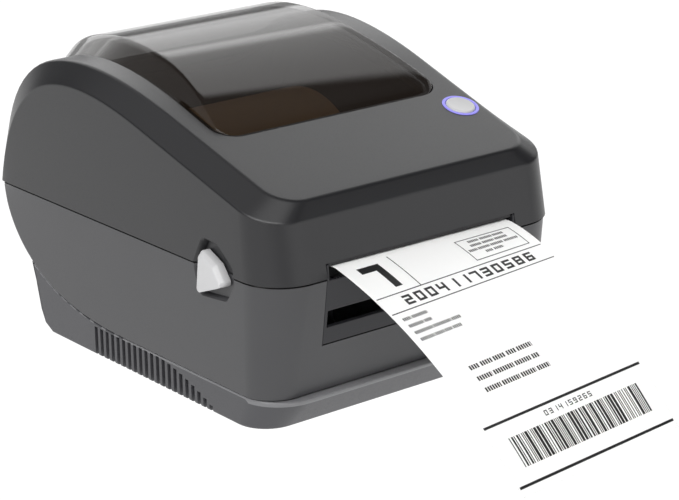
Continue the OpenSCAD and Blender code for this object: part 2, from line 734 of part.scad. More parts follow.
head_y = [11, 23];
head_z = 4.4;
module print_head() {
    color([0.82, 0.80, 0.72]) in_place()
        block([-label_w / 2 - 3.2, head_y[0], head_z], [label_w / 2 + 3.2, head_y[1], head_z + 2.4]);
}
module head_heatsink() {
    color([0.60, 0.61, 0.62]) in_place() difference() {
        block([2 - frame_x, 9, head_z + 2.4], [frame_x - 2, 31, head_z + 9]);
        for (y = [26.5, 29]) block([1 - frame_x, y - 0.7, head_z + 1], [frame_x - 1, y + 0.7, head_z + 6.4]);
    }
}
post_x = 40;
post_y = 22;
module head_bracket() {
    color(steel) in_place() {
        block([-frame_x - 4, 9, head_z + 9], [frame_x + 4, 36, head_z + 10.5]);
        block([-frame_x - 4, 34.5, head_z + 2], [frame_x + 4, 36, head_z + 9]);
        for (x = [-post_x, post_x]) translate([x, post_y, head_z + 9])
            cylinder(r = 3, h = top_z(post_y - 3) - 0.4 - head_z - 9);
    }
}
module catch_pin(s) {
    x = [pad_x - 9, pad_x + 1.5];
    color(steel) in_place() bar(catch_at, catch_r, min(s * x[0], s * x[1]), max(s * x[0], s * x[1]));
}
module catch_pin_left() { catch_pin(-1); }
module catch_pin_right() { catch_pin(1); }

// ---- Release latch ----
lever_x = [recess_x + 0.6, half_w + lever_out];
module latch_shaft() {
    color(steel) in_place() bar(latch_at, latch_shaft_r, -lever_x[0] - 2, lever_x[0] + 2);
}
module lever() {
    mid = half_w + 0.8;
    difference() {
        union() {
            across(lever_x[0], mid) lever_outline(lever_tip_r);
            hull() {
                across(mid - 0.4, mid) lever_outline(lever_tip_r - 0.1);
                across(lever_x[1] - 0.1, lever_x[1]) translate(lever_mid) scale(0.8)
                    translate(-lever_mid) lever_outline(lever_tip_r);
            }
        }
        bar(latch_at, latch_shaft_r, lever_x[0] - 1, lever_x[0] + 2);
    }
}
module lever_right() {
    color(light_grey) in_place() lever();
}
module lever_left() {
    color(light_grey) in_place() mirror([1, 0, 0]) lever();
}
hook_x = [half_w - 12.5, half_w - 9];
module hook() {
    neck = [39.5, -1];
    head = [39, 7];
    difference() {
        across(hook_x[0], hook_x[1]) {
            hull() {
                translate(latch_at) circle(r = 5.5, $fn = 32);
                translate(neck) circle(r = 2.2, $fn = 32);
            }
            hull() {
                translate(neck) circle(r = 2.2, $fn = 32);
                translate(head) circle(r = 2, $fn = 32);
            }
            hull() {
                translate(head) circle(r = 2, $fn = 32);
                translate(head + [2.6, 0.3]) circle(r = 0.8, $fn = 32);
            }
        }
        bar(latch_at, latch_shaft_r, hook_x[0] - 1, hook_x[1] + 1);
    }
}
module hook_right() {
    color(dark_grey) in_place() hook();
}
module hook_left() {
    color(dark_grey) in_place() mirror([1, 0, 0]) hook();
}

// ---- Media roll and guides ----
guide_x = label_w / 2 + free_gap;
guide_t = 3;
guide_r = 26;
core_bore = core_r - core_t;
// each guide slides outward until it is clear of the liner's edge
guide_travel = bay_half - 1.9 - guide_t - guide_x;
module guide() {
    difference() {
        union() {
            bar(roll_at, guide_r, guide_x, guide_x + guide_t);
            bar(roll_at, core_bore - run_fit, guide_x - 12, guide_x + 1);
            block([guide_x, roll_at.x - 8, roll_at.y - bay_r + 2],
                [guide_x + guide_t, roll_at.x + 8, roll_at.y]);
            block([guide_x, roll_at.x - 3.5, -61], [guide_x + guide_t, roll_at.x + 3.5, -50]);
            block([guide_x - 3, roll_at.x - 9, -63], [guide_x + guide_t + 3, roll_at.x + 9, -61]);
        }
        bar(roll_at, core_bore - 2.5, guide_x - 13, guide_x + guide_t + 1);
    }
}
module guide_right() {
    color(dark_grey) in_place() guide();
}
module guide_left() {
    color(dark_grey) in_place() mirror([1, 0, 0]) guide();
}
module label_roll() {
    color(paper) in_place() difference() {
        bar(roll_at, roll_r, -label_w / 2, label_w / 2);
        bar(roll_at, core_r, -label_w, label_w);
    }
}
module roll_core() {
    color([0.72, 0.58, 0.42]) in_place() difference() {
        bar(roll_at, core_r, -label_w / 2, label_w / 2);
        bar(roll_at, core_bore, -label_w, label_w);
    }
}

// ---- Platen and gears ----
module platen_rubber() {
    color([0.12, 0.12, 0.13]) in_place() difference() {
        bar(platen_at, platen_r, -platen_l / 2, platen_l / 2);
        bar(platen_at, platen_shaft_r, -platen_l, platen_l);
    }
}
module platen_shaft() {
    color(steel) in_place() bar(platen_at, platen_shaft_r, -gear_x - gear_t - 1, frame_x + 4);
}
tooth_up = 0.7;
tooth_down = 1.15;
// A spur gear's outline; a tooth points at angle a
module gear_outline(n, a) {
    rp = gear_m * n / 2;
    half_root = 108 / n;
    half_tip = 44 / n;
    polygon([for (i = [0:n - 1], k = [0:3])
        let (b = a + 360 * i / n + [-half_root, -half_tip, half_tip, half_root][k])
        let (r = (k == 0 || k == 3) ? rp - tooth_down * gear_m : rp + tooth_up * gear_m)
        r * [cos(b), sin(b)]]);
}
module gear(p, n, a, bore) {
    difference() {
        across(-gear_x - gear_t, -gear_x) translate(p) gear_outline(n, a);
        bar(p, bore, -gear_x - gear_t - 1, -gear_x + 1);
    }
}
module platen_gear() {
    color(light_grey) in_place() gear(platen_at, platen_n, train_a, platen_shaft_r);
}
module idler_gear() {
    color([0.80, 0.78, 0.70]) in_place()
        gear(idler_at, idler_n, train_a + 180 + 180 / idler_n, stud_r + run_fit);
}
// the idler has a gap towards the pinion, so a pinion tooth points back at the idler
pinion_a = train_a + 180;
module motor_gear() {
    color([0.80, 0.68, 0.36]) in_place() {
        gear(motor_at, pinion_n, pinion_a, motor_shaft_r);
        bar(motor_at, motor_shaft_r, -gear_x - gear_t - 1, -frame_x + 3.5);
    }
}

module power_rocker() {
    color([0.08, 0.08, 0.09]) in_place() difference() {
        union() {
            across(switch_x - 8.6, switch_x + 8.6)
                polygon([[port_y - 5, port_z - 5], [port_y - 5, port_z + 5],
                    [port_y + 0.4, port_z + rocker_half - 0.6], [port_y + 1.6, port_z + rocker_half - 0.8],
                    [port_y - 0.2, port_z], [port_y + 1.6, port_z - rocker_half + 0.8],
                    [port_y + 0.4, port_z - rocker_half + 0.6]]);
            bar([port_y - 3, port_z], 1, switch_x - 9.8, switch_x + 9.8);
        }
    }
}

lower_housing();
base_pan();
foot_1();
foot_2();
foot_3();
foot_4();
base_screw_1();
base_screw_2();
base_screw_3();
base_screw_4();
front_panel();
tear_bar();
bay_liner();
media_deck();
gap_sensor();
side_frame_left();
side_frame_right();
head_rail();
stepper_motor();
main_board();
dc_jack();
usb_port();
switch_frame();
label_web();
hinge_pin_left();
hinge_pin_right();
top_cover();
window();
window_frame();
light_ring();
button_board();
head_bracket();
print_head();
head_heatsink();
catch_pin_left();
catch_pin_right();
feed_button();
latch_shaft();
lever_left();
lever_right();
hook_left();
hook_right();
guide_left();
guide_right();
label_roll();
roll_core();
platen_rubber();
platen_shaft();
platen_gear();
idler_gear();
motor_gear();
power_rocker();
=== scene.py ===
"""Looks of a desktop thermal label printer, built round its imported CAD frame.

The CAD nodes stay where they are. The shells, window, levers, label and button are rebuilt here as
finer meshes in the same places, and everything gets a procedural finish. All drawing sizes are in
millimetres: x = 0 at mid-width, y = 0 at the front edge of the parting line, z = 0 on the parting
line. at() turns such a point into the row frame, in metres.
"""

import logging
import math
import random
from dataclasses import dataclass, field
from enum import Enum
from typing import Callable, Sequence

import bmesh
import bpy
from mathutils import Matrix, Vector


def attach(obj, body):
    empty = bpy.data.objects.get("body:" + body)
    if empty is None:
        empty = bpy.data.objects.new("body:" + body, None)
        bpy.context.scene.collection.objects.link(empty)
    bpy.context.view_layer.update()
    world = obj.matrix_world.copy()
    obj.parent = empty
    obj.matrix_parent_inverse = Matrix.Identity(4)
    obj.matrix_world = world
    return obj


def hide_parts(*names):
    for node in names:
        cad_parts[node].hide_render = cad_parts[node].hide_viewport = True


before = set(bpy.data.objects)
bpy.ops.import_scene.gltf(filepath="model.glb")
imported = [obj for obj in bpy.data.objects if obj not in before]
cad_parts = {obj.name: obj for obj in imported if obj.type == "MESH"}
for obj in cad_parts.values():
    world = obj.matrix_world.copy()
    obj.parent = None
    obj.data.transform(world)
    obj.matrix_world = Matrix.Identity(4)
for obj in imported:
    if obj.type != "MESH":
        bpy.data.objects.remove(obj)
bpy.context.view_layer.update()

logging.basicConfig(level=logging.INFO, format="%(message)s")
LOG = logging.getLogger("printer")

MM = 0.001
Flat = tuple[float, float]
Point = tuple[float, float, float]
Face = tuple[int, ...]
Solid = tuple[list[Vector], list[Face]]


# ---- Sizes -----------------------------------------------------------------------------------


@dataclass(frozen=True)
class BodySizes:
    """Outer sizes that the two shells share, in millimetres and degrees."""

    half_width: float = 84.5
    depth: float = 222.0
    seam_height: float = 71.5
    origin_y: float = 51.85
    seam_gap: float = 1.0
    wall: float = 2.4
    corner_r: float = 21.0
    rear_r: float = 5.0
    top_slope: float = 17.0
    side_slope: float = 15.3
    front_lean: float = 5.6
    brow_height: float = 26.4
    top_front_y: float = 8.9
    top_front_height: float = 34.3
    top_corner_r: float = 14.0
    bevel_width: float = 13.1
    bevel_taper: float = 0.0335
    side_draft: float = 1.0
    roof_height: float = 69.0
    ridge_z: float = -54.0
    pan_z: float = -69.4


BODY = BodySizes()


def at(x: float, y: float, z: float) -> Vector:
    """A drawing point in the row frame, in metres."""
    return Vector((x, y - BODY.origin_y, z + BODY.seam_height)) * MM


def mix(a: float, b: float, t: float) -> float:
    """The value a share t of the way from a to b."""
    return a + (b - a) * t


def cubic(p: Sequence[Flat], u: float) -> Flat:
    """A point of the cubic curve through p[0] and p[3].

    Args:
        p: four control points as (y, z).
        u: place along the curve, 0 to 1.

    Returns:
        The point as (y, z).
    """
    v = 1 - u
    weights = (v**3, 3 * v * v * u, 3 * v * u * u, u**3)
    return (
        sum(w * q[0] for w, q in zip(weights, p)),
        sum(w * q[1] for w, q in zip(weights, p)),
    )


def climb(p: Flat, degrees: float, y: float) -> Flat:
    """The point at y on the line that rises from p at an angle."""
    return y, p[1] + (y - p[0]) * math.tan(math.radians(degrees))


def corner(y0: float, half: float, r: float, share: float) -> Flat:
    """A point of a rounded front corner seen from above.

    Args:
        y0: front edge.
        half: half-width behind the corner.
        r: corner radius.
        share: 0 at the front edge, 1 at the side.

    Returns:
        The point as (x, y).
    """
    a = math.radians(90 * share)
    return half - r * (1 - math.sin(a)), y0 + r * (1 - math.cos(a))


def rounded(path: Sequence[Vector], reach: Sequence[float], steps: int = 4) -> list[Vector]:
    """Rounds the inner corners of a path.

    Args:
        path: the corner points.
        reach: how far each inner corner's round reaches along both legs.
        steps: points per round, less one.

    Returns:
        The path with each inner corner replaced by a short curve.
    """
    out = [path[0]]
    for i in range(1, len(path) - 1):
        before, here, after = path[i - 1], path[i], path[i + 1]
        near = min(reach[i - 1], 0.45 * (here - before).length)
        far = min(reach[i - 1], 0.45 * (after - here).length)
        a = here + (before - here).normalized() * near if near > 1e-6 else here.copy()
        b = here + (after - here).normalized() * far if far > 1e-6 else here.copy()
        for k in range(steps + 1):
            t = k / steps
            out.append(a * (1 - t) ** 2 + here * 2 * t * (1 - t) + b * t * t)
    out.append(path[-1])
    return out


# ---- Mesh helpers ----------------------------------------------------------------------------


def make_object(name: str, points: Sequence[Vector], faces: Sequence[Face]) -> bpy.types.Object:
    """A mesh object from points in the row frame.

    Args:
        name: the piece's name.
        points: vertices, in metres.
        faces: vertex numbers of each face.

    Returns:
        The linked object, with doubled points merged and outward normals.
    """
    mesh = bpy.data.meshes.new(name)
    mesh.from_pydata([tuple(p) for p in points], [], [tuple(f) for f in faces])
    bm = bmesh.new()
    bm.from_mesh(mesh)
    bmesh.ops.remove_doubles(bm, verts=bm.verts, dist=2e-6)
    bmesh.ops.dissolve_degenerate(bm, dist=1e-6, edges=bm.edges)
    bmesh.ops.recalc_face_normals(bm, faces=bm.faces)
    if bm.calc_volume(signed=True) < 0:
        bmesh.ops.reverse_faces(bm, faces=bm.faces)
    bm.to_mesh(mesh)
    bm.free()
    obj = bpy.data.objects.new(name, mesh)
    bpy.context.scene.collection.objects.link(obj)
    return obj


def prism(
    outline: Sequence[Flat], low: float, high: float, place: Callable[[float, float, float], Vector]
) -> Solid:
    """A straight prism.

    Args:
        outline: corner points.
        low: one end.
        high: the other end.
        place: turns (outline a, outline b, height) into a point of the row frame.

    Returns:
        Points and faces.
    """
    n = len(outline)
    points = [place(a, b, h) for h in (low, high) for a, b in outline]
    faces: list[Face] = [tuple(range(n - 1, -1, -1)), tuple(range(n, 2 * n))]
    faces += [(i, (i + 1) % n, n + (i + 1) % n, n + i) for i in range(n)]
    return points, faces


def joined(parts: Sequence[Solid]) -> Solid:
    """Several point and face lists as one."""
    points: list[Vector] = []
    faces: list[Face] = []
    for p, f in parts:
        start = len(points)
        points += p
        faces += [tuple(i + start for i in face) for face in f]
    return points, faces


def slab_faces(steps: int, cols: int) -> list[Face]:
    """Faces of a thin slab whose points are the rows of its top, then those of its underside.

    Args:
        steps: quads along it.
        cols: quads across it.

    Returns:
        Top and underside, with the sides and both ends.
    """
    row = cols + 1
    m = (steps + 1) * row
    faces: list[Face] = []
    for i in range(steps):
        for j in range(cols):
            q = (i * row + j, i * row + j + 1, (i + 1) * row + j + 1, (i + 1) * row + j)
            faces += [q, tuple(m + k for k in reversed(q))]
        for j in (0, cols):
            faces.append((i * row + j, (i + 1) * row + j, m + (i + 1) * row + j, m + i * row + j))
    for i in (0, steps):
        faces += [(i * row + j, i * row + j + 1, m + i * row + j + 1, m + i * row + j) for j in range(cols)]
    return faces


def along_x(a: float, b: float, h: float) -> Vector:
    """Place for a side-view outline: a is y, b is z, h is x."""
    return at(h, a, b)


def upward(a: float, b: float, h: float) -> Vector:
    """Place for an outline seen from above."""
    return at(a, b, h)


def box_part(low: Point, high: Point) -> Solid:
    """A cutter or core box between two drawing points."""
    outline = [(low[0], low[1]), (high[0], low[1]), (high[0], high[1]), (low[0], high[1])]
    return prism(outline, low[2], high[2], upward)


def circle(centre: Flat, r: float, n: int = 48) -> list[Flat]:
    """Points of a circle."""
    return [
        (centre[0] + r * math.cos(2 * math.pi * i / n), centre[1] + r * math.sin(2 * math.pi * i / n))
        for i in range(n)
    ]


def hull_outline(centres: Sequence[Flat], r: float, steps: int = 8) -> list[Flat]:
    """The outline round circles of one radius at the corners of a convex polygon.

    Args:
        centres: circle centres, anticlockwise.
        r: radius.
        steps: segments per corner.

    Returns:
        The outline's points, anticlockwise.
    """
    out: list[Flat] = []
    n = len(centres)
    for i, c in enumerate(centres):
        before, after = centres[i - 1], centres[(i + 1) % n]
        a0 = math.atan2(c[1] - before[1], c[0] - before[0]) - math.pi / 2
        a1 = math.atan2(after[1] - c[1], after[0] - c[0]) - math.pi / 2
        while a1 < a0:
            a1 += 2 * math.pi
        for k in range(steps + 1):
            a = mix(a0, a1, k / steps)
            out.append((c[0] + r * math.cos(a), c[1] + r * math.sin(a)))
    return out


def combine(obj: bpy.types.Object, other: bpy.types.Object, operation: str) -> None:
    """Joins another closed mesh to obj or cuts it out, for good.

    Args:
        obj: the piece.
        other: the tool, which is removed.
        operation: UNION or DIFFERENCE.
    """
    cut = obj.modifiers.new("cut", "BOOLEAN")
    cut.operation = operation
    cut.solver = "MANIFOLD"
    cut.object = other
    settle(obj)
    bpy.data.objects.remove(other)


def settle(obj: bpy.types.Object) -> None:
    """Applies obj's modifiers to its mesh."""
    bpy.context.view_layer.update()
    graph = bpy.context.evaluated_depsgraph_get()
    mesh = bpy.data.meshes.new_from_object(obj.evaluated_get(graph))
    obj.modifiers.clear()
    obj.data = mesh


def soften(obj: bpy.types.Object, width: float = 0.3, segments: int = 2, sharp: float = 35.0) -> None:
    """Rounds an object's sharp edges and shades it smooth.

    Args:
        obj: the piece or CAD node.
        width: reach of the round, in millimetres.
        segments: faces across it.
        sharp: edges that bend more than this many degrees are rounded.
    """
    obj.data.shade_smooth()
    if width > 0:
        bevel = obj.modifiers.new("edge", "BEVEL")
        bevel.width = width * MM
        bevel.segments = segments
        bevel.limit_method = "ANGLE"
        bevel.angle_limit = math.radians(sharp)
        bevel.use_clamp_overlap = True
        bevel.miter_outer = "MITER_ARC"
    normals = obj.modifiers.new("normals", "WEIGHTED_NORMAL")
    normals.keep_sharp = True
    normals.weight = 50


def weld_edges(obj: bpy.types.Object, degrees: float = 35.0) -> None:
    """Shades obj smooth and marks the edges that stay crisp."""
    obj.data.shade_smooth()
    obj.data.set_sharp_from_angle(angle=math.radians(degrees))


def lathe(
    name: str, profile: Sequence[Flat], origin: Vector, axis: Vector, steps: int = 96
) -> bpy.types.Object:
    """A turned piece.

    Args:
        name: the piece's name.
        profile: (radius, height) points in millimetres, from one end of the axis to the other.
        origin: the axis's foot, in the row frame.
        axis: direction of height.
        steps: segments round the axis.

    Returns:
        The object.
    """
    turn = axis.to_track_quat("Z", "Y").to_matrix()
    points: list[Vector] = []
    faces: list[Face] = []
    n = len(profile)
    for k in range(steps):
        a = 2 * math.pi * k / steps
        for r, h in profile:
            points.append(origin + turn @ (Vector((r * math.cos(a), r * math.sin(a), h)) * MM))
    for k in range(steps):
        for i in range(n - 1):
            j = (k + 1) % steps
            faces.append((k * n + i, j * n + i, j * n + i + 1, k * n + i + 1))
    return make_object(name, points, faces)


class RingLoft:
    """A shell lofted from columns round the front and both sides, closed by rungs across it.

    Each column is a list of points from the shell's rim inwards. The columns run from the middle
    of the front, round the right corner and along the side; the left half mirrors them. Rungs join
    the inner ends of each left and right pair.
    """

    def __init__(
        self,
        columns: list[list[Vector]],
        first_rung: int,
        last_rung: int | None = None,
        start_rung: int | None = None,
    ) -> None:
        """Stores the right half.

        Args:
            columns: drawing points of each column.
            first_rung: number of the last column on the front's straight stretch.
            last_rung: number of the first column on the rear's straight stretch, if the ring closes.
            start_rung: the first rung that gets faces, if not all do.
        """
        self.columns = columns
        self.first = first_rung
        self.last = len(columns) - 1 if last_rung is None else last_rung
        self.closed = last_rung is not None
        self.start = first_rung if start_rung is None else start_rung

    def grid(self) -> tuple[list[Vector], list[Face]]:
        """Points and faces of the outer skin."""
        n, rows = len(self.columns), len(self.columns[0])
        count = 2 * n - 2 if self.closed else 2 * n - 1
        points: list[Vector] = []

        def column(k: int) -> list[Vector]:
            """The ring's column k, counted from the rear on the left."""
            half = self.columns[abs(k - (n - 1))]
            return half if k >= n - 1 else [Vector((-p.x, p.y, p.z)) for p in half]

        for k in range(count):
            points += column(k)
        faces: list[Face] = []
        for k in range(count if self.closed else count - 1):
            a, b = k * rows, (k + 1) % count * rows
            faces += [(a + r, b + r, b + r + 1, a + r + 1) for r in range(rows - 1)]
        rung_steps = 2 * self.first

        def edge(k: int) -> int:
            """Number of the inner end of the column k steps right of the middle, or left if below 0."""
            return ((n - 1 + k) % count) * rows + rows - 1

        def rung(k: int) -> list[int]:
            """Point numbers along rung k, from left to right."""
            if k == self.first:
                return [edge(i) for i in range(-k, k + 1)]
            if self.closed and k == self.last:
                return [edge(-k - i) for i in range(0, n - k)] + [edge(i) for i in range(n - 2, k - 1, -1)]
            right = self.columns[k][-1]
            ids = [edge(-k)]
            for i in range(1, rung_steps):
                s = 2 * i / rung_steps - 1
                points.append(Vector((right.x * s, right.y, right.z)))
                ids.append(len(points) - 1)
            return ids + [edge(k)]

        rungs = [rung(k) for k in range(self.start, self.last + 1)]
        for low, high in zip(rungs, rungs[1:]):
            faces += [(low[i], low[i + 1], high[i + 1], high[i]) for i in range(rung_steps)]
        return points, faces

    def shell(self, name: str, inner: Callable[[Vector], Vector]) -> bpy.types.Object:
        """The closed shell as an object.

        Args:
            name: the piece's name.
            inner: moves an outer drawing point to the inner skin.

        Returns:
            The object.
        """
        points, faces = self.grid()
        n = len(points)
        uses: dict[tuple[int, int], int] = {}
        for f in faces:
            for a, b in zip(f, f[1:] + f[:1]):
                uses[(a, b)] = uses.get((a, b), 0) + 1
        rim = [(b, a, n + a, n + b) for (a, b) in uses if (b, a) not in uses]
        everything = [at(*p) for p in points] + [at(*inner(p)) for p in points]
        inside = [tuple(i + n for i in reversed(f)) for f in faces]
        return make_object(name, everything, faces + inside + rim)


# ---- Finishes --------------------------------------------------------------------------------


def linear(code: str) -> tuple[float, float, float, float]:
    """A linear colour from an sRGB hex value such as #5f5f61."""
    channels = [int(code[i : i + 2], 16) / 255 for i in (1, 3, 5)]
    red, green, blue = (c / 12.92 if c <= 0.04045 else ((c + 0.055) / 1.055) ** 2.4 for c in channels)
    return red, green, blue, 1.0


def add_node(
    tree: bpy.types.NodeTree,
    kind: str,
    settings: dict[str, object] | None = None,
    inputs: dict[str | int, object] | None = None,
    links: dict[str | int, bpy.types.NodeSocket] | None = None,
) -> bpy.types.Node:
    """Adds a shader node.

    Args:
        tree: the material's nodes.
        kind: node type, without its ShaderNode prefix.
        settings: properties to set.
        inputs: socket values to set.
        links: sockets that feed its inputs.

    Returns:
        The node.
    """
    node = tree.nodes.new("ShaderNode" + kind)
    for key, value in (settings or {}).items():
        setattr(node, key, value)
    for key, value in (inputs or {}).items():
        node.inputs[key].default_value = value
    for key, socket in (links or {}).items():
        tree.links.new(socket, node.inputs[key])
    return node


class Surface(Enum):
    """How a surface was made, which sets its relief."""

    SPARKED = "spark-eroded mould"
    POLISHED = "polished mould"
    ROLLED = "rolled sheet"
    BRUSHED = "brushed"
    PAPER = "coated paper"
    RUBBER = "moulded rubber"
    FIBRE = "wound board"


@dataclass(frozen=True)
class Finish:
    """One material: what it is, its colour and how its surface was made.

    grain is the size of the relief in millimetres, relief its height, mottle the share by which the
    colour varies over patches of about mottle_size millimetres.
    """

    name: str
    colour: str
    surface: Surface
    roughness: float
    metallic: float = 0.0
    ior: float = 1.5
    grain: float = 0.35
    relief: float = 0.01
    mottle: float = 0.04
    mottle_size: float = 22.0
    alpha: float = 1.0
    coat: float = 0.0
    glow: float = 0.0
    rough_spread: float = 0.05
    shine: float = 0.5

    def material(self) -> bpy.types.Material:
        """Builds the material, or returns it if it has been built."""
        known = bpy.data.materials.get(self.name)
        if known:
            return known
        made = bpy.data.materials.new(self.name)
        made.use_nodes = True
        tree = made.node_tree
        tree.nodes.clear()
        place = add_node(tree, "TexCoord").outputs["Object"]
        patches = {"Scale": 1 / (self.mottle_size * MM), "Detail": 3.0, "Roughness": 0.55}
        tone = add_node(tree, "TexNoise", inputs=patches, links={"Vector": place})
        base = linear(self.colour)
        low = tuple(c * (1 - self.mottle) for c in base[:3]) + (1.0,)
        high = tuple(min(c * (1 + self.mottle), 1.0) for c in base[:3]) + (1.0,)
        colour = add_node(tree, "Mix", {"data_type": "RGBA"}, {6: low, 7: high}, {0: tone.outputs["Fac"]})
        relief = self.relief_height(tree, place)
        sheen = {
            "From Min": 0.3,
            "From Max": 0.7,
            "To Min": max(self.roughness - self.rough_spread, 0.0),
            "To Max": min(self.roughness + self.rough_spread, 1.0),
        }
        spread = add_node(tree, "MapRange", inputs=sheen, links={"Value": relief})
        depth = {"Strength": 0.6, "Distance": self.relief * MM}
        bump = add_node(tree, "Bump", inputs=depth, links={"Height": relief})
        body = {
            "Metallic": self.metallic,
            "IOR": self.ior,
            "Alpha": self.alpha,
            "Coat Weight": self.coat,
            "Specular IOR Level": self.shine,
        }
        skin = {
            "Base Color": colour.outputs[2],
            "Roughness": spread.outputs["Result"],
            "Normal": bump.outputs["Normal"],
        }
        shader = add_node(tree, "BsdfPrincipled", inputs=body, links=skin)
        if self.glow:
            shader.inputs["Emission Color"].default_value = base
            shader.inputs["Emission Strength"].default_value = self.glow
        add_node(tree, "OutputMaterial", links={"Surface": shader.outputs["BSDF"]})
        return made

    def relief_height(self, tree: bpy.types.NodeTree, place: bpy.types.NodeSocket) -> bpy.types.NodeSocket:
        """The surface's height pattern, 0 to 1.

        Args:
            tree: the material's nodes.
            place: object coordinates.

        Returns:
            The socket that carries the height.
        """
        fine = 1 / (self.grain * MM)
        stretch = {
            Surface.BRUSHED: (0.05, 1.0, 1.0),
            Surface.ROLLED: (0.25, 1.0, 1.0),
            Surface.FIBRE: (1.0, 0.2, 0.2),
        }.get(self.surface)
        if stretch:
            mapped = add_node(tree, "Mapping", inputs={"Scale": stretch}, links={"Vector": place})
            place = mapped.outputs["Vector"]
        at_place = {"Vector": place}
        if self.surface is Surface.SPARKED:
            times = {"operation": "MULTIPLY"}
            pits = add_node(
                tree, "TexVoronoi", {"feature": "SMOOTH_F1"}, {"Scale": fine, "Smoothness": 0.8}, at_place
            )
            grit = add_node(tree, "TexNoise", inputs={"Scale": fine * 0.6, "Detail": 2.0}, links=at_place)
            both = add_node(tree, "Math", times, links={0: pits.outputs["Distance"], 1: grit.outputs["Fac"]})
            return add_node(tree, "Math", times, {1: 1.6}, {0: both.outputs[0]}).outputs[0]
        weave = {"Scale": fine, "Detail": 4.0, "Roughness": 0.6}
        return add_node(tree, "TexNoise", inputs=weave, links=at_place).outputs["Fac"]


# Moulded ABS from a spark-eroded tool: a dense satin grain that spreads highlights softly.
SHELL_ABS = Finish("ABS shell, spark-eroded satin", "#1f1f21", Surface.SPARKED, 0.38, relief=0.010)
# The lower shell in the same grain, a shade lighter than the cover.
TUB_ABS = Finish("ABS lower shell, spark-eroded satin", "#3b3b3d", Surface.SPARKED, 0.40, relief=0.010)
# The same ABS in a slightly coarser texture: duller than the shells.
PAN_ABS = Finish("ABS pan, spark-eroded matt", "#404043", Surface.SPARKED, 0.44, grain=0.5, relief=0.012)
# The lip round the pan's top edge: the same ABS, smoother, and painted paler so that it reads as a bright
# line: a painted highlight along the edge.
LIP_HIGHLIGHT_ABS = Finish("ABS pan lip, painted highlight", "#6f6f71", Surface.SPARKED, 0.36, grain=0.5, relief=0.006)
# Dark panel between the shell halves: finer grain and a touch more shine.
PANEL_ABS = Finish("ABS panel, spark-eroded satin", "#242427", Surface.SPARKED, 0.36, grain=0.3, shine=0.32)
# Black moulded parts inside: dull, so that the hollow stays dark. Also laid on the cover's lip inside the
# exit as painted shade for the dark slot.
INNER_ABS_AND_SLOT_SHADE = Finish("ABS black, moulded matt, and painted slot shade", "#1b1b1d", Surface.SPARKED, 0.6, grain=0.6)
# Smoked acrylic from a polished mould: sharp reflections over a brown see-through body.
SMOKED_ACRYLIC = Finish(
    "Acrylic smoked, polished mould", "#1a120b", Surface.POLISHED, 0.04, ior=1.49, alpha=0.56, coat=0.4,
    grain=30.0, relief=0.02, rough_spread=0.015, mottle=0.02,
)
# Light ABS with a fine grain for what the hand touches.
TOUCH_ABS = Finish("ABS light grey, moulded satin", "#bdbdbe", Surface.SPARKED, 0.38, grain=0.3, relief=0.006)
# Frosted light guide with its lamp on: an even violet-blue ring.
LIGHT_GUIDE = Finish("Acrylic light guide, frosted", "#7f79d2", Surface.POLISHED, 0.35, glow=0.35, grain=2.0)
# Nitrile rubber, ground: dead matt black.
RUBBER = Finish("Nitrile rubber, ground", "#17181a", Surface.RUBBER, 0.75, grain=0.4, relief=0.02)
# Zinc-plated steel sheet: cool grey with rolling lines.
STEEL = Finish(
    "Steel sheet, zinc plated", "#b9bcc0", Surface.ROLLED, 0.32, metallic=1.0, grain=0.4, relief=0.004
)
# Steel with a black oxide bath: nearly black, with a dull sheen.
BLACKED = Finish("Steel, black oxide", "#1c1c1e", Surface.ROLLED, 0.42, metallic=1.0, grain=0.4, relief=0.004)
# Extruded aluminium, brushed: pale, with fine lines along it.
ALUMINIUM = Finish(
    "Aluminium extrusion, brushed", "#c6c8ca", Surface.BRUSHED, 0.36, metallic=1.0, grain=0.2, relief=0.004
)
# Glazed alumina of the thermal head: smooth, creamy white.
CERAMIC = Finish("Alumina ceramic, glazed", "#d8d2c0", Surface.POLISHED, 0.12, grain=6.0, relief=0.003)
# Glass-epoxy board with green solder mask: smooth with a faint weave.
BOARD = Finish("Glass-epoxy board, solder mask", "#1d5636", Surface.ROLLED, 0.3, grain=0.8, relief=0.01)
# Machined brass pinion.
BRASS = Finish("Brass, machined", "#c9a45a", Surface.BRUSHED, 0.3, metallic=1.0, grain=0.2, relief=0.003)
# Acetal gear: off-white and waxy.
ACETAL = Finish("Acetal, moulded", "#cfc8b4", Surface.POLISHED, 0.4, grain=1.5, relief=0.004)
# Coated direct-thermal paper: bright, smooth, with no visible fibres.
THERMAL_PAPER = Finish(
    "Thermal paper, coated", "#fbfbfa", Surface.PAPER, 0.55, grain=0.5, relief=0.003, mottle=0.01
)
# Kraft liner on the outside of the wound roll: warm brown and matt.
KRAFT = Finish("Label roll, kraft liner", "#c49a6c", Surface.PAPER, 0.7, grain=0.6, relief=0.006, mottle=0.03)
# Developed thermal coating: black where the head heated it.
THERMAL_BLACK = Finish(
    "Thermal coating, developed", "#131314", Surface.PAPER, 0.5, grain=0.5, relief=0.002, mottle=0.05
)
# Spiral-wound grey board of the core.
CORE_BOARD = Finish(
    "Core board, spiral wound", "#a88a66", Surface.FIBRE, 0.8, grain=0.7, relief=0.03, mottle=0.12
)


def dress(obj: bpy.types.Object, *finishes: Finish) -> None:
    """Gives obj these finishes as its material slots."""
    obj.data.materials.clear()
    for finish in finishes:
        obj.data.materials.append(finish.material())


def place_piece(obj: bpy.types.Object, body: str, slot: str, *nodes: str) -> None:
    """Attaches a piece to its body's empty and hides the CAD nodes it stands for.

    Args:
        obj: the piece.
        body: the CAD body that carries it.
        slot: not used.
        nodes: the CAD nodes it stands for.
    """
    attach(obj, body)
    if nodes:
        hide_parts(*nodes)
    LOG.info("piece %s: %d faces on %s", obj.name, len(obj.data.polygons), body)


# ---- Shells ----------------------------------------------------------------------------------


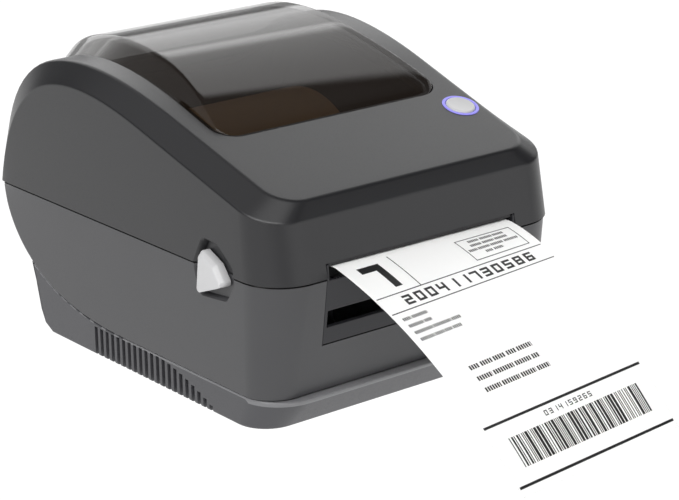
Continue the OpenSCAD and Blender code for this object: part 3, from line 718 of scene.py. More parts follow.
def ring_point(y0: float, y1: float, half: float, r: float, rear: float, y: float) -> float:
    """Half-width of a rounded outline at y, on its side and rear corner."""
    if y <= y1 - rear:
        return half
    s = min((y - (y1 - rear)) / rear, 1.0)
    return half - rear * (1 - math.sqrt(max(1 - s * s, 0.0)))


@dataclass
class Stations:
    """How many columns stand on each stretch of a shell's half outline."""

    front: int = 14
    turn: int = 12
    side: int = 12
    arc: int = 30

    def spread(self) -> list[tuple[str, float]]:
        """The stretch and the share along it of each column."""
        out = [("front", k / self.front) for k in range(self.front)]
        out += [("turn", k / self.turn) for k in range(self.turn)]
        out += [("side", k / self.side) for k in range(self.side)]
        out += [("arc", k / self.arc) for k in range(self.arc + 1)]
        return out


@dataclass
class TopCover:
    """The hinged cover: a rounded wedge with a bevel band between its sides and its flat top."""

    stations: Stations = field(default_factory=Stations)
    fillet_low: float = 0.9
    fillet_high: float = 1.3
    inset: float = 5.0
    exit_half: float = 54.5
    exit_height: float = 6.5
    lip_y: float = 1.8
    opening_front: float = 61.1
    opening_rear: float = 208.4
    opening_half: float = 63.9
    opening_r: float = 12.0
    button_hole_r: float = 8.75
    button_place: Flat = (62.5, 47.5)

    def curves(self) -> tuple[list[Flat], list[Flat]]:
        """Control points of the lower and upper bevel edges behind their knees."""
        b = BODY
        low_front = (b.front_lean, b.brow_height)
        top_front = (b.top_front_y, b.top_front_height)
        low = [
            climb(low_front, b.side_slope, 97.4),
            climb(low_front, b.side_slope, 143.3),
            (204.8, 72.3),
            (220.0, 0.0),
        ]
        high = [
            climb(top_front, b.top_slope, 86.0),
            climb(top_front, b.top_slope, 122.0),
            (221.0, 96.0),
            (222.0, 0.0),
        ]
        return low, high

    def columns(self) -> list[list[Vector]]:
        """The right half's columns: seam, lower bevel edge, upper bevel edge, top."""
        b = BODY
        low, high = self.curves()

        def low_at(p: Flat) -> Vector:
            """The bevel's lower edge above a place seen from the top."""
            return Vector((p[0], p[1], climb((b.front_lean, b.brow_height), b.side_slope, p[1])[1]))

        def high_at(p: Flat, inset: float) -> Vector:
            """The bevel's upper edge above a place seen from the top."""
            x = p[0] - (b.bevel_width - b.bevel_taper * p[1])
            return Vector((x - inset, p[1], climb((b.top_front_y, b.top_front_height), b.top_slope, p[1])[1]))

        out: list[list[Vector]] = []
        for stretch, t in self.stations.spread():
            if stretch == "front":
                a = Vector(((b.half_width - b.corner_r) * t, 0, 0))
                low_p = low_at(((b.half_width - b.side_draft - b.corner_r + 2) * t, b.front_lean))
                c0 = corner(b.top_front_y, b.half_width, b.top_corner_r, 0)
                high_p = high_at(c0, 0)
                high_p.x *= t
                inner = high_at((c0[0], c0[1] + self.inset), 0)
                inner.x *= t
            elif stretch == "turn":
                x, y = corner(0, b.half_width, b.corner_r, t)
                a = Vector((x, y, 0))
                low_p = low_at(corner(b.front_lean, b.half_width - b.side_draft, b.corner_r - 2, t))
                high_p = high_at(corner(b.top_front_y, b.half_width, b.top_corner_r, t), 0)
                inner_r = b.top_corner_r - self.inset
                inner = high_at(corner(b.top_front_y + self.inset, b.half_width - self.inset, inner_r, t), 0)
            elif stretch == "side":
                a = Vector((b.half_width, mix(b.corner_r, 92.0, t), 0))
                low_y = mix(b.front_lean + b.corner_r - 2, low[0][0], t)
                low_p = low_at((b.half_width - b.side_draft, low_y))
                high_p = high_at((b.half_width, mix(b.top_front_y + b.top_corner_r, high[0][0], t)), 0)
                inner = high_p - Vector((self.inset, 0, 0))
            else:
                p, q = cubic(low, t), cubic(high, t)
                y = mix(92.0, 220.0, t) * (1 - t) + p[0] * t
                a = Vector((ring_point(0, b.depth, b.half_width, b.corner_r, b.rear_r, y), y, 0))
                low_p = Vector((min(b.half_width - b.side_draft, a.x + 0.6 * t), p[0], p[1]))
                if t == 1:
                    a = low_p.copy()
                high_p = Vector((b.half_width - (b.bevel_width - b.bevel_taper * q[0]), q[0], q[1]))
                inner = high_p - Vector((self.inset, 0, 0))
            out.append(rounded([a, low_p, high_p, inner], [self.fillet_low, self.fillet_high]))
        return out

    def inner(self, p: Vector) -> Vector:
        """An outer point moved to the inner skin."""
        b = BODY
        half_d = b.depth / 2
        return Vector(
            (
                p.x * (b.half_width - b.wall) / b.half_width,
                half_d + (p.y - half_d) * (half_d - b.wall) / half_d,
                p.z * (b.roof_height - b.wall) / b.roof_height,
            )
        )

    def build(self) -> bpy.types.Object:
        """Makes the cover with its openings, hinge knuckles and thumb recesses, and paints the exit lip dull
        black as painted shade.
        """
        loft = RingLoft(self.columns(), first_rung=self.stations.front)
        cover = loft.shell("cover_shell", self.inner)
        pads = [box_part((low, 20, 0), (high, 62, 15)) for low, high in ((-83.2, -79), (79, 83.2))]
        knuckles = [prism(circle(HINGE, 3.2), s * 55 - 7, s * 55 + 7, along_x) for s in (-1, 1)]
        combine(cover, make_object("core", *joined(pads)), "UNION")
        combine(cover, make_object("core", *joined(knuckles)), "UNION")
        opening = plan_outline(self.opening_front, self.opening_rear, self.opening_half, self.opening_r)
        cuts = [
            box_part((-self.exit_half, -1, -1), (self.exit_half, self.lip_y, self.exit_height)),
            box_part(
                (-self.exit_half + 1.9, self.lip_y - 0.1, -1),
                (self.exit_half - 1.9, 12, self.exit_height - 1.5),
            ),
            box_part((-self.exit_half, self.lip_y - 0.1, -1), (-self.exit_half + 1.95, 12, self.exit_height)),
            box_part((self.exit_half - 1.95, self.lip_y - 0.1, -1), (self.exit_half, 12, self.exit_height)),
            prism(opening, 30, 95, upward),
            button_bore(self.button_place, self.button_hole_r),
        ]
        cuts += thumb_recesses()
        near, far = 7.0, 15.8
        for s in (-1, 1):
            cuts.append(prism(circle(HINGE, 3.7), s * 55 + near, s * 55 + far, along_x))
            cuts.append(prism(circle(HINGE, 3.7), s * 55 - far, s * 55 - near, along_x))
        for cut in cuts:
            combine(cover, make_object("cut", *cut), "DIFFERENCE")
        soften(cover, 0.2)
        dress(cover, SHELL_ABS, INNER_ABS_AND_SLOT_SHADE)
        # The faces of the lip inside the exit get the dull black finish: painted shade for the dark inside of
        # the slot.
        low, high = at(-52, self.lip_y - 0.2, 4.9), at(52, 4.0, self.exit_height + 0.05)
        for face in cover.data.polygons:
            if all(low[k] <= face.center[k] <= high[k] for k in range(3)):
                face.material_index = 1
        place_piece(cover, "cover", "shell", "top_cover")
        return cover


HINGE: Flat = (220.5, -0.35)
RECESS = ((48.3, 8.8), (41, 8.5), (32.3, 2), (32, -3), (36.2, -9.4), (52, -11), (54, -3))
# (distance from mid-width, radius round the points) from the recess floor outward: a dished wall
RECESS_WALL = ((80.8, 2.3), (81.4, 2.5), (82.4, 2.9), (83.4, 3.5), (84.1, 4.1), (84.6, 4.7), (90.0, 9.0))


def ccw(points: Sequence[Flat]) -> list[Flat]:
    """The points in anticlockwise order round their middle."""
    area = sum(a[0] * b[1] - b[0] * a[1] for a, b in zip(points, list(points[1:]) + [points[0]]))
    return list(points) if area > 0 else list(reversed(points))


def ring_band(k: int, n: int) -> list[Face]:
    """The faces between ring k and the next one, with n points on each."""
    a, b = k * n, (k + 1) * n
    return [(a + i, a + (i + 1) % n, b + (i + 1) % n, b + i) for i in range(n)]


def thumb_recesses() -> list[Solid]:
    """Cutters of the dished pockets round both release levers."""
    cutters = []
    for side in (-1, 1):
        points: list[Vector] = []
        n = 0
        for x, r in RECESS_WALL:
            ring = hull_outline(ccw(RECESS), r, steps=6)
            n = len(ring)
            points += [at(side * x, y, z) for y, z in ring]
        last = (len(RECESS_WALL) - 1) * n
        faces: list[Face] = [tuple(range(n)), tuple(range(last, last + n))]
        for k in range(len(RECESS_WALL) - 1):
            faces += ring_band(k, n)
        cutters.append((points, faces))
    return cutters


def plan_outline(y0: float, y1: float, half: float, r: float, steps: int = 16) -> list[Flat]:
    """An outline seen from above, with rounded corners.

    Args:
        y0: front edge.
        y1: rear edge.
        half: half-width.
        r: radius of the corners.
        steps: segments per corner.

    Returns:
        The outline, anticlockwise from the front.
    """
    right = [corner(y0, half, r, k / steps) for k in range(steps + 1)]
    for k in range(steps + 1):
        a = math.radians(90 * k / steps)
        right.append((half - r * (1 - math.cos(a)), y1 - r * (1 - math.sin(a))))
    return right + [(-x, y) for x, y in reversed(right)]


def on_top(place: Flat, x: float, y: float, z: float) -> Vector:
    """A point given in the sloping top's own axes at a place, in the row frame."""
    a = math.radians(BODY.top_slope)
    z0 = climb((BODY.top_front_y, BODY.top_front_height), BODY.top_slope, place[1])[1]
    return at(
        place[0] + x,
        place[1] + y * math.cos(a) - z * math.sin(a),
        z0 + y * math.sin(a) + z * math.cos(a),
    )


def button_bore(place: Flat, r: float) -> Solid:
    """Cutter of a round hole square to the sloping top."""
    return prism(circle((0, 0), r, 96), -8, 6, lambda x, y, z: on_top(place, x, y, z))


@dataclass
class LowerHousing:
    """The tub under the cover, open at the bottom, with the exit opening in its front."""

    stations: Stations = field(default_factory=Stations)
    inset: float = 0.6
    lean: float = 8.0
    draft: float = 1.8
    ridge_fillet: float = 0.5
    lip: float = 12.0
    mid_half: float = 79.5
    rear_step: float = 3.4

    def arc(self) -> list[Flat]:
        """Side-view control points of the rising rear edge."""
        return [(120.0, BODY.ridge_z), (236.8, BODY.ridge_z), (219.7, 17.8), (219.2, 0.0)]

    def columns(self) -> list[list[Vector]]:
        """The right half's columns: top edge, ridge, underside."""
        b = BODY
        half = b.half_width - self.inset
        ridge_half = b.half_width - self.draft
        out: list[list[Vector]] = []
        for stretch, t in self.stations.spread():
            if stretch == "front":
                a = Vector(((half - b.corner_r) * t, self.inset, -b.seam_gap))
                r = Vector(((ridge_half - b.corner_r + 5) * t, self.lean, b.ridge_z))
                inner = r + Vector((0, self.lip, 0))
                inner.x = (ridge_half - b.corner_r + 5) * t
            elif stretch == "turn":
                a = Vector((*corner(self.inset, half, b.corner_r, t), -b.seam_gap))
                r = Vector((*corner(self.lean, ridge_half, b.corner_r - 5, t), b.ridge_z))
                lip_r = b.corner_r - 5 - self.lip + 5
                lip_at = corner(self.lean + self.lip, ridge_half - self.lip + 5, lip_r, t)
                inner = Vector((*lip_at, b.ridge_z))
            elif stretch == "side":
                a = Vector((half, mix(self.inset + b.corner_r, 112.0, t), -b.seam_gap))
                r = Vector((ridge_half, mix(self.lean + b.corner_r - 5, 120.0, t), b.ridge_z))
                inner = Vector((self.mid_half, mix(self.lean + self.lip + 9, 120.0, t), b.ridge_z))
            else:
                p = cubic(self.arc(), t)
                y = mix(112.0, 219.2, t) * (1 - t) + p[0] * t
                edge_x = ring_point(0, b.depth - self.inset, half, b.corner_r, b.rear_r, y)
                a = Vector((edge_x, y, -b.seam_gap))
                z = min(p[1], -b.seam_gap)
                r = Vector((min(ridge_half, a.x + 0.4), p[0], z))
                step = self.rear_step * min(t * 4, 1.0)
                inner = Vector((self.mid_half, min(p[0] + step, b.depth - self.inset), z))
            fillet = self.ridge_fillet + (1.8 * t if stretch == "arc" else 0)
            out.append(rounded([a, r, inner], [fillet], steps=5))
        return out

    def inner(self, p: Vector) -> Vector:
        """An outer point moved to the inner skin."""
        b = BODY
        half_d = b.depth / 2
        drop = min(max((-b.seam_gap - p.z) / (-b.seam_gap - b.ridge_z), 0.0), 1.0)
        return Vector(
            (
                p.x * (b.half_width - b.wall) / b.half_width,
                half_d + (p.y - half_d) * (half_d - b.wall) / half_d,
                p.z + b.wall * drop,
            )
        )

    def build(self) -> bpy.types.Object:
        """Makes the housing with its openings, hinge lugs and thumb recesses."""
        columns = self.columns()
        start = next(i for i, c in enumerate(columns) if i > 20 and c[-1].y > 172)
        loft = RingLoft(columns, first_rung=self.stations.front, start_rung=start)
        tub = loft.shell("housing_shell", self.inner)
        for low, high in ((-82.4, -79), (79, 82.4)):
            pad = box_part((low, 20, -24), (high, 62, -0.72))
            combine(tub, make_object("core", *pad), "UNION")
        cuts = [
            box_part((-54.5, -1, -32), (54.5, 12, 1)),
            box_part((-54, 205, -17), (54, 225, -11.5)),
        ]
        for s in (-1, 1):
            for a, b in ((-0.1, 39.6), (70.4, 80.0)):
                low, high = sorted((s * a, s * b))
                cuts.append(box_part((low, 214, -3), (high, 226, 1)))
            low, high = sorted((s * 79.9, s * 86.0))
            cuts.append(box_part((low, 218.5, -2.4), (high, 226, 1)))
            cuts.append(prism(circle(HINGE, 3.7), s * 55 - 7.4, s * 55 + 7.4, along_x))
        cuts += thumb_recesses()
        for cut in cuts:
            combine(tub, make_object("cut", *cut), "DIFFERENCE")
        lugs = []
        for s in (-1, 1):
            lugs.append(prism(circle(HINGE, 3.2), s * 55 + 7.4, s * 55 + 15.4, along_x))
            lugs.append(prism(circle(HINGE, 3.2), s * 55 - 15.4, s * 55 - 7.4, along_x))
        combine(tub, make_object("core", *joined(lugs)), "UNION")
        soften(tub, 0.2)
        dress(tub, TUB_ABS)
        place_piece(tub, "housing", "shell", "lower_housing")
        return tub


@dataclass
class BasePan:
    """The dark skirt under the housing, with its ledge, vents, feet pockets and connector openings."""

    stations: Stations = field(default_factory=Stations)
    ledge_y: float = 2.75
    ledge_drop: float = 0.4
    half: float = 82.5
    foot_y: float = 14.0
    lip_r: float = 2.6
    side_lip_r: float = 1.0
    foot_r: float = 1.6
    vent_count: int = 21
    vent_full: int = 12
    vent_pitch: float = 4.62
    vent_width: float = 2.6
    vent_last: float = 142.6
    rear: tuple[Flat, ...] = ((196.5, -36.3), (194.1, -49.1), (191.1, -60.7), (188.0, -66.5), (182.0, -69.4))

    def arc(self) -> list[Flat]:
        """Side-view control points of the rising rear edge."""
        top = BODY.ridge_z - self.ledge_drop
        return [(120.0, top), (236.8, top), (219.7, 17.4), (219.2, -0.4)]

    def on_highlight_lip(self, p: Vector) -> bool:
        """Whether a point of the outer skin, in metres, lies on the rounded lip along the top edge that gets
        the painted highlight.
        """
        b = BODY
        y, z = p.y / MM + b.origin_y, p.z / MM - b.seam_height
        if y <= 120.0:
            front = y < self.ledge_y + b.corner_r
            return z > b.ridge_z - 0.5 - (self.lip_r if front else self.side_lip_r)
        return min(math.dist(cubic(self.arc(), k / 60), (y, z)) for k in range(61)) < self.side_lip_r + 0.3

    def columns(self) -> list[list[Vector]]:
        """The right half's columns: ledge, its edge, foot edge, underside; then up the rear."""
        b = BODY
        top = b.ridge_z - self.ledge_drop
        low = b.pan_z
        arc = self.arc()
        t_end = next(t / 400 for t in range(401) if cubic(arc, t / 400)[1] > self.rear[0][1])
        out: list[list[Vector]] = []
        for stretch, t in self.stations.spread():
            if stretch == "front":
                lip = Vector((64.5 * t, 9.0, top))
                edge = Vector(((self.half - b.corner_r) * t, self.ledge_y, top))
                foot = Vector(((self.half - 16) * t, self.foot_y, low))
                inner = Vector(((self.half - 16) * t, self.foot_y + 8, low))
            elif stretch == "turn":
                lip = Vector((*corner(9.0, 80.5, 16.0, t), top))
                edge = Vector((*corner(self.ledge_y, self.half, b.corner_r, t), top))
                foot = Vector((*corner(self.foot_y, self.half, 16.0, t), low))
                inner = Vector((*corner(self.foot_y + 8, self.half - 8, 8.0, t), low))
            elif stretch == "side":
                lip = Vector((80.5, mix(25.0, 120.0, t), top))
                edge = Vector((self.half, mix(self.ledge_y + b.corner_r, 120.0, t), top))
                foot = Vector((self.half, mix(30.0, 118.0, t), low))
                inner = Vector((self.half - 8, mix(30.0, 118.0, t), low))
            else:
                p = cubic(arc, t * t_end)
                lip = Vector((80.5, p[0], p[1]))
                edge = Vector((self.half, p[0], p[1]))
                foot = Vector((self.half, mix(118.0, self.rear[-1][0], t), low))
                inner = Vector((self.half - 8, mix(118.0, self.rear[-1][0] + 3, t), low))
            lip_r = self.lip_r if stretch in ("front", "turn") else self.side_lip_r
            out.append(rounded([lip, edge, foot, inner], [lip_r, self.foot_r], steps=4))
        lip = out[-1][0]
        for y, z in reversed(self.rear[:-1]):
            foot = Vector((self.half, y, z))
            inner = Vector((self.half - 8, y + 3, z))
            edge = Vector((self.half, *self.rear[0]))
            out.append(rounded([lip, edge, foot, inner], [self.side_lip_r, self.foot_r], steps=4))
        return out

    def inner(self, p: Vector) -> Vector:
        """An outer point moved to the inner skin."""
        b = BODY
        half_d = b.depth / 2
        share = min(max((-54.7 - p.z) / 14.7, 0.0), 1.0)
        return Vector(
            (
                p.x * (self.half - b.wall) / self.half,
                half_d + (p.y - half_d) * (half_d - b.wall) / half_d,
                p.z - b.wall + 2 * b.wall * share,
            )
        )

    def vent_top(self, i: int) -> float:
        """Height at which vent i ends, counted from the rear."""
        full = BODY.ridge_z - 1.2
        if i < self.vent_full:
            return full
        return full - 13.2 * ((i - self.vent_full + 1) / (self.vent_count - self.vent_full + 1)) ** 1.6

    def build(self) -> bpy.types.Object:
        """Makes the pan with its vents and openings, and paints a highlight along its top lip."""
        loft = RingLoft(self.columns(), first_rung=self.stations.front)
        pan = loft.shell("pan_shell", self.inner)
        vents = []
        for s in (-1, 1):
            for i in range(self.vent_count):
                y = self.vent_last - i * self.vent_pitch
                low, high = sorted((s * 77.5, s * 86.0))
                front, rear = y - self.vent_width / 2, y + self.vent_width / 2
                vents.append(box_part((low, front, -72), (high, rear, self.vent_top(i))))
        combine(pan, make_object("cut", *joined(vents)), "DIFFERENCE")
        for x in (-62.0, 62.0):
            for y in (36.0, 174.0):
                foot_seat = prism(circle((x, y), 7.0), -72, -68.6, upward)
                combine(pan, make_object("cut", *foot_seat), "DIFFERENCE")
        ports = [
            ((44.8, 178, -58.6), (55.2, 208, -45.3)),
            ((19.6, 178, -58.6), (32.4, 208, -45.3)),
            ((-62.7, 178, -58.2), (-41.3, 208, -43.8)),
        ]
        for low, high in ports:
            combine(pan, make_object("cut", *box_part(low, high)), "DIFFERENCE")
        for x in (-76.0, 76.0):
            for y in (38.0, 168.0):
                screw_seat = prism(circle((x, y), 3.4), -72, -67.0, upward)
                combine(pan, make_object("cut", *screw_seat), "DIFFERENCE")
        soften(pan, 0.2)
        dress(pan, PAN_ABS, LIP_HIGHLIGHT_ABS)
        # Faces on the lip get the paler finish: a painted highlight along the pan's top edge.
        for face in pan.data.polygons:
            if self.on_highlight_lip(face.center):
                face.material_index = 1
        place_piece(pan, "housing", "panel", "base_pan")
        return pan


@dataclass
class SmokedWindow:
    """The raised acrylic window: a crest that rises from the sloping top and falls at the rear."""

    half: float = 63.5
    front: float = 61.5
    end: float = 208.0
    front_r: float = 12.0
    rear_r: float = 16.0
    crest: float = 77.6
    top_y: float = 152.0
    thickness: float = 2.0
    skirt: float = 6.0
    crease_in: float = 11.0
    crease_length: float = 65.0
    inset: float = 3.5
    front_n: int = 12
    turn_n: int = 10
    side_n: int = 44

    def roof(self, y: float) -> float:
        """Height of the cover's top at the window's foot."""
        top = (BODY.top_front_y, BODY.top_front_height)
        knee = climb(top, BODY.top_slope, 86.0)
        if y < knee[0]:
            return climb(top, BODY.top_slope, y)[1]
        if y < 158:
            return knee[1] + (69 - knee[1]) * math.sin(math.pi / 2 * (y - knee[0]) / (158 - knee[0]))
        return 69 - 22 * ((y - 158) / (self.end - 158)) ** 2.4

    def line(self, y: float) -> float:
        """Height of the window's own roof at y."""
        low = self.roof(self.front) - 0.4
        rise = [(self.front, low), (82.0, 63.5), (118.0, self.crest), (self.top_y, self.crest)]
        fall = [(self.top_y, self.crest), (182.0, self.crest), (206.0, 70.0), (self.end, 47.0)]
        curve = rise if y <= self.top_y else fall
        a, b = 0.0, 1.0
        for _ in range(40):
            m = (a + b) / 2
            if cubic(curve, m)[0] < y:
                a = m
            else:
                b = m
        return cubic(curve, a)[1]

    def crease(self, y: float) -> float:
        """Half-width of the roof's crease at y."""
        t = min(max((y - self.front) / self.crease_length, 0.0), 1.0)
        turn = max(self.front_r - y + self.front, 0.0)
        return min(
            self.half - self.crease_in * math.sin(math.pi / 2 * t) ** 1.2,
            self.half - self.front_r + math.sqrt(max(self.front_r**2 - turn**2, 0.0)),
            self.half - self.rear_r + self.end - y,
        )

    def columns(self) -> tuple[list[list[Vector]], int]:
        """The right half's columns, and the number of the first one on the rear's straight stretch."""
        straight = self.half - self.front_r
        feet: list[Flat] = [(straight * k / self.front_n, self.front) for k in range(self.front_n)]
        feet += [corner(self.front, self.half, self.front_r, k / self.turn_n) for k in range(self.turn_n)]
        y0, y1 = self.front + self.front_r, self.end - self.rear_r
        feet += [(self.half, mix(y0, y1, k / self.side_n)) for k in range(self.side_n)]
        for k in range(self.turn_n + 1):
            a = math.radians(90 * k / self.turn_n)
            x = self.half - self.rear_r * (1 - math.cos(a))
            feet.append((x, self.end - self.rear_r * (1 - math.sin(a))))
        last = len(feet) - 1
        straight = self.half - self.rear_r
        feet += [(straight * (1 - k / self.front_n), self.end) for k in range(1, self.front_n + 1)]
        middle = (self.front + self.end) / 2
        reach = (middle - self.front - self.inset) / (middle - self.front)
        out = []
        for x, y in feet:
            edge_x = min(x, self.crease(y))
            foot = Vector((x, y, self.roof(y)))
            edge = Vector((edge_x, y, self.line(y)))
            inner_y = middle + (y - middle) * reach
            inner = Vector((edge_x * (1 - self.inset / self.half), inner_y, self.line(inner_y)))
            low = Vector((x, y, self.roof(y) - self.skirt))
            out.append([low] + rounded([foot, edge, inner], [3.0], steps=6))
        return out, last

    def inner(self, p: Vector) -> Vector:
        """An outer point moved to the inner skin."""
        middle = (self.front + self.end) / 2
        reach = (self.end - self.front) / 2
        return Vector(
            (
                p.x * (self.half - self.thickness) / self.half,
                middle + (p.y - middle) * (reach - self.thickness) / reach,
                p.z - self.thickness,
            )
        )

    def build(self) -> bpy.types.Object:
        """Makes the window."""
        columns, last = self.columns()
        loft = RingLoft(columns, first_rung=self.front_n, last_rung=last)
        window = loft.shell("window_shell", self.inner)
        soften(window, 0.15, sharp=50)
        dress(window, SMOKED_ACRYLIC)
        place_piece(window, "cover", "window", "window")
        return window


@dataclass
class FeedControls:
    """The round feed button and the light ring round it."""

    place: Flat = (62.5, 47.5)
    button_r: float = 7.0
    ring_r: float = 8.75
    steps: int = 96

    def turned(self, name: str, profile: Sequence[Flat]) -> bpy.types.Object:
        """A piece turned round the button's axis, from (radius, height) points."""
        origin = on_top(self.place, 0, 0, 0)
        axis = (on_top(self.place, 0, 0, 1) - origin).normalized()
        return lathe(name, profile, origin, axis, self.steps)

    def build(self) -> list[bpy.types.Object]:
        """Makes the button, dished and with a rounded rim, and the ring."""
        r = self.button_r
        turns = [math.radians(10 * k) for k in range(10)]
        rim = [(r - 0.9 + 0.9 * math.sin(a), -0.1 + 0.9 * math.cos(a)) for a in turns]
        dish = [(0.0, 0.42), (r * 0.3, 0.45), (r * 0.6, 0.58), (r * 0.8, 0.74)]
        button = self.turned("button_cap", dish + rim + [(r, -2.4), (2.0, -2.4), (2.0, -4.8), (0.0, -4.8)])
        weld_edges(button)
        dress(button, TOUCH_ABS)
        place_piece(button, "button", "light_plastic", "feed_button")
        outer, inner = self.ring_r, r + 0.3
        ring = self.turned(
            "button_light",
            [
                (inner, -2.3),
                (inner, 0.2),
                (inner + 0.15, 0.34),
                (outer - 0.15, 0.34),
                (outer, 0.2),
                (outer, -2.3),
                (inner, -2.3),
            ],
        )
        weld_edges(ring)
        dress(ring, LIGHT_GUIDE)
        place_piece(ring, "cover", "light_ring", "light_ring")
        return [button, ring]


@dataclass
class ReleaseLevers:
    """The rounded triangular thumb levers on both sides."""

    points: tuple[Flat, ...] = ((49, 5.3), (51, -10.2), (35.6, -4.2), (40.2, 1.6))
    tip_r: float = 2.0
    foot: float = 81.4
    shoulder: float = 84.9
    end: float = 87.2
    middle: Flat = (43.0, -8.6)
    top_scale: float = 0.87

    def rings(self) -> list[tuple[float, float]]:
        """(scale, distance from mid-width) of each outline, from the foot to the face."""
        return [
            (1.0, self.foot),
            (1.0, self.shoulder - 0.3),
            (0.99, self.shoulder + 0.1),
            (0.965, self.shoulder + 0.6),
            (self.top_scale + 0.05, self.end - 0.7),
            (self.top_scale + 0.025, self.end - 0.3),
            (self.top_scale - 0.01, self.end - 0.06),
            (self.top_scale - 0.05, self.end),
        ]

    def build(self) -> list[bpy.types.Object]:
        """Makes both levers."""
        outline = hull_outline(ccw(self.points), self.tip_r, steps=12)
        n = len(outline)
        made = []
        for name, side, node in (("lever_cap_right", 1, "lever_right"), ("lever_cap_left", -1, "lever_left")):
            points: list[Vector] = []
            for scale, x in self.rings():
                for y, z in outline:
                    points.append(
                        at(
                            side * x,
                            self.middle[0] + (y - self.middle[0]) * scale,
                            self.middle[1] + (z - self.middle[1]) * scale,
                        )
                    )
            count = len(self.rings())
            faces: list[Face] = [tuple(range(n)), tuple(range((count - 1) * n, count * n))]
            for k in range(count - 1):
                faces += ring_band(k, n)
            lever = make_object(name, points, faces)
            weld_edges(lever, 50)
            dress(lever, TOUCH_ABS)
            place_piece(lever, "latch", "light_plastic", node)
            made.append(lever)
        return made


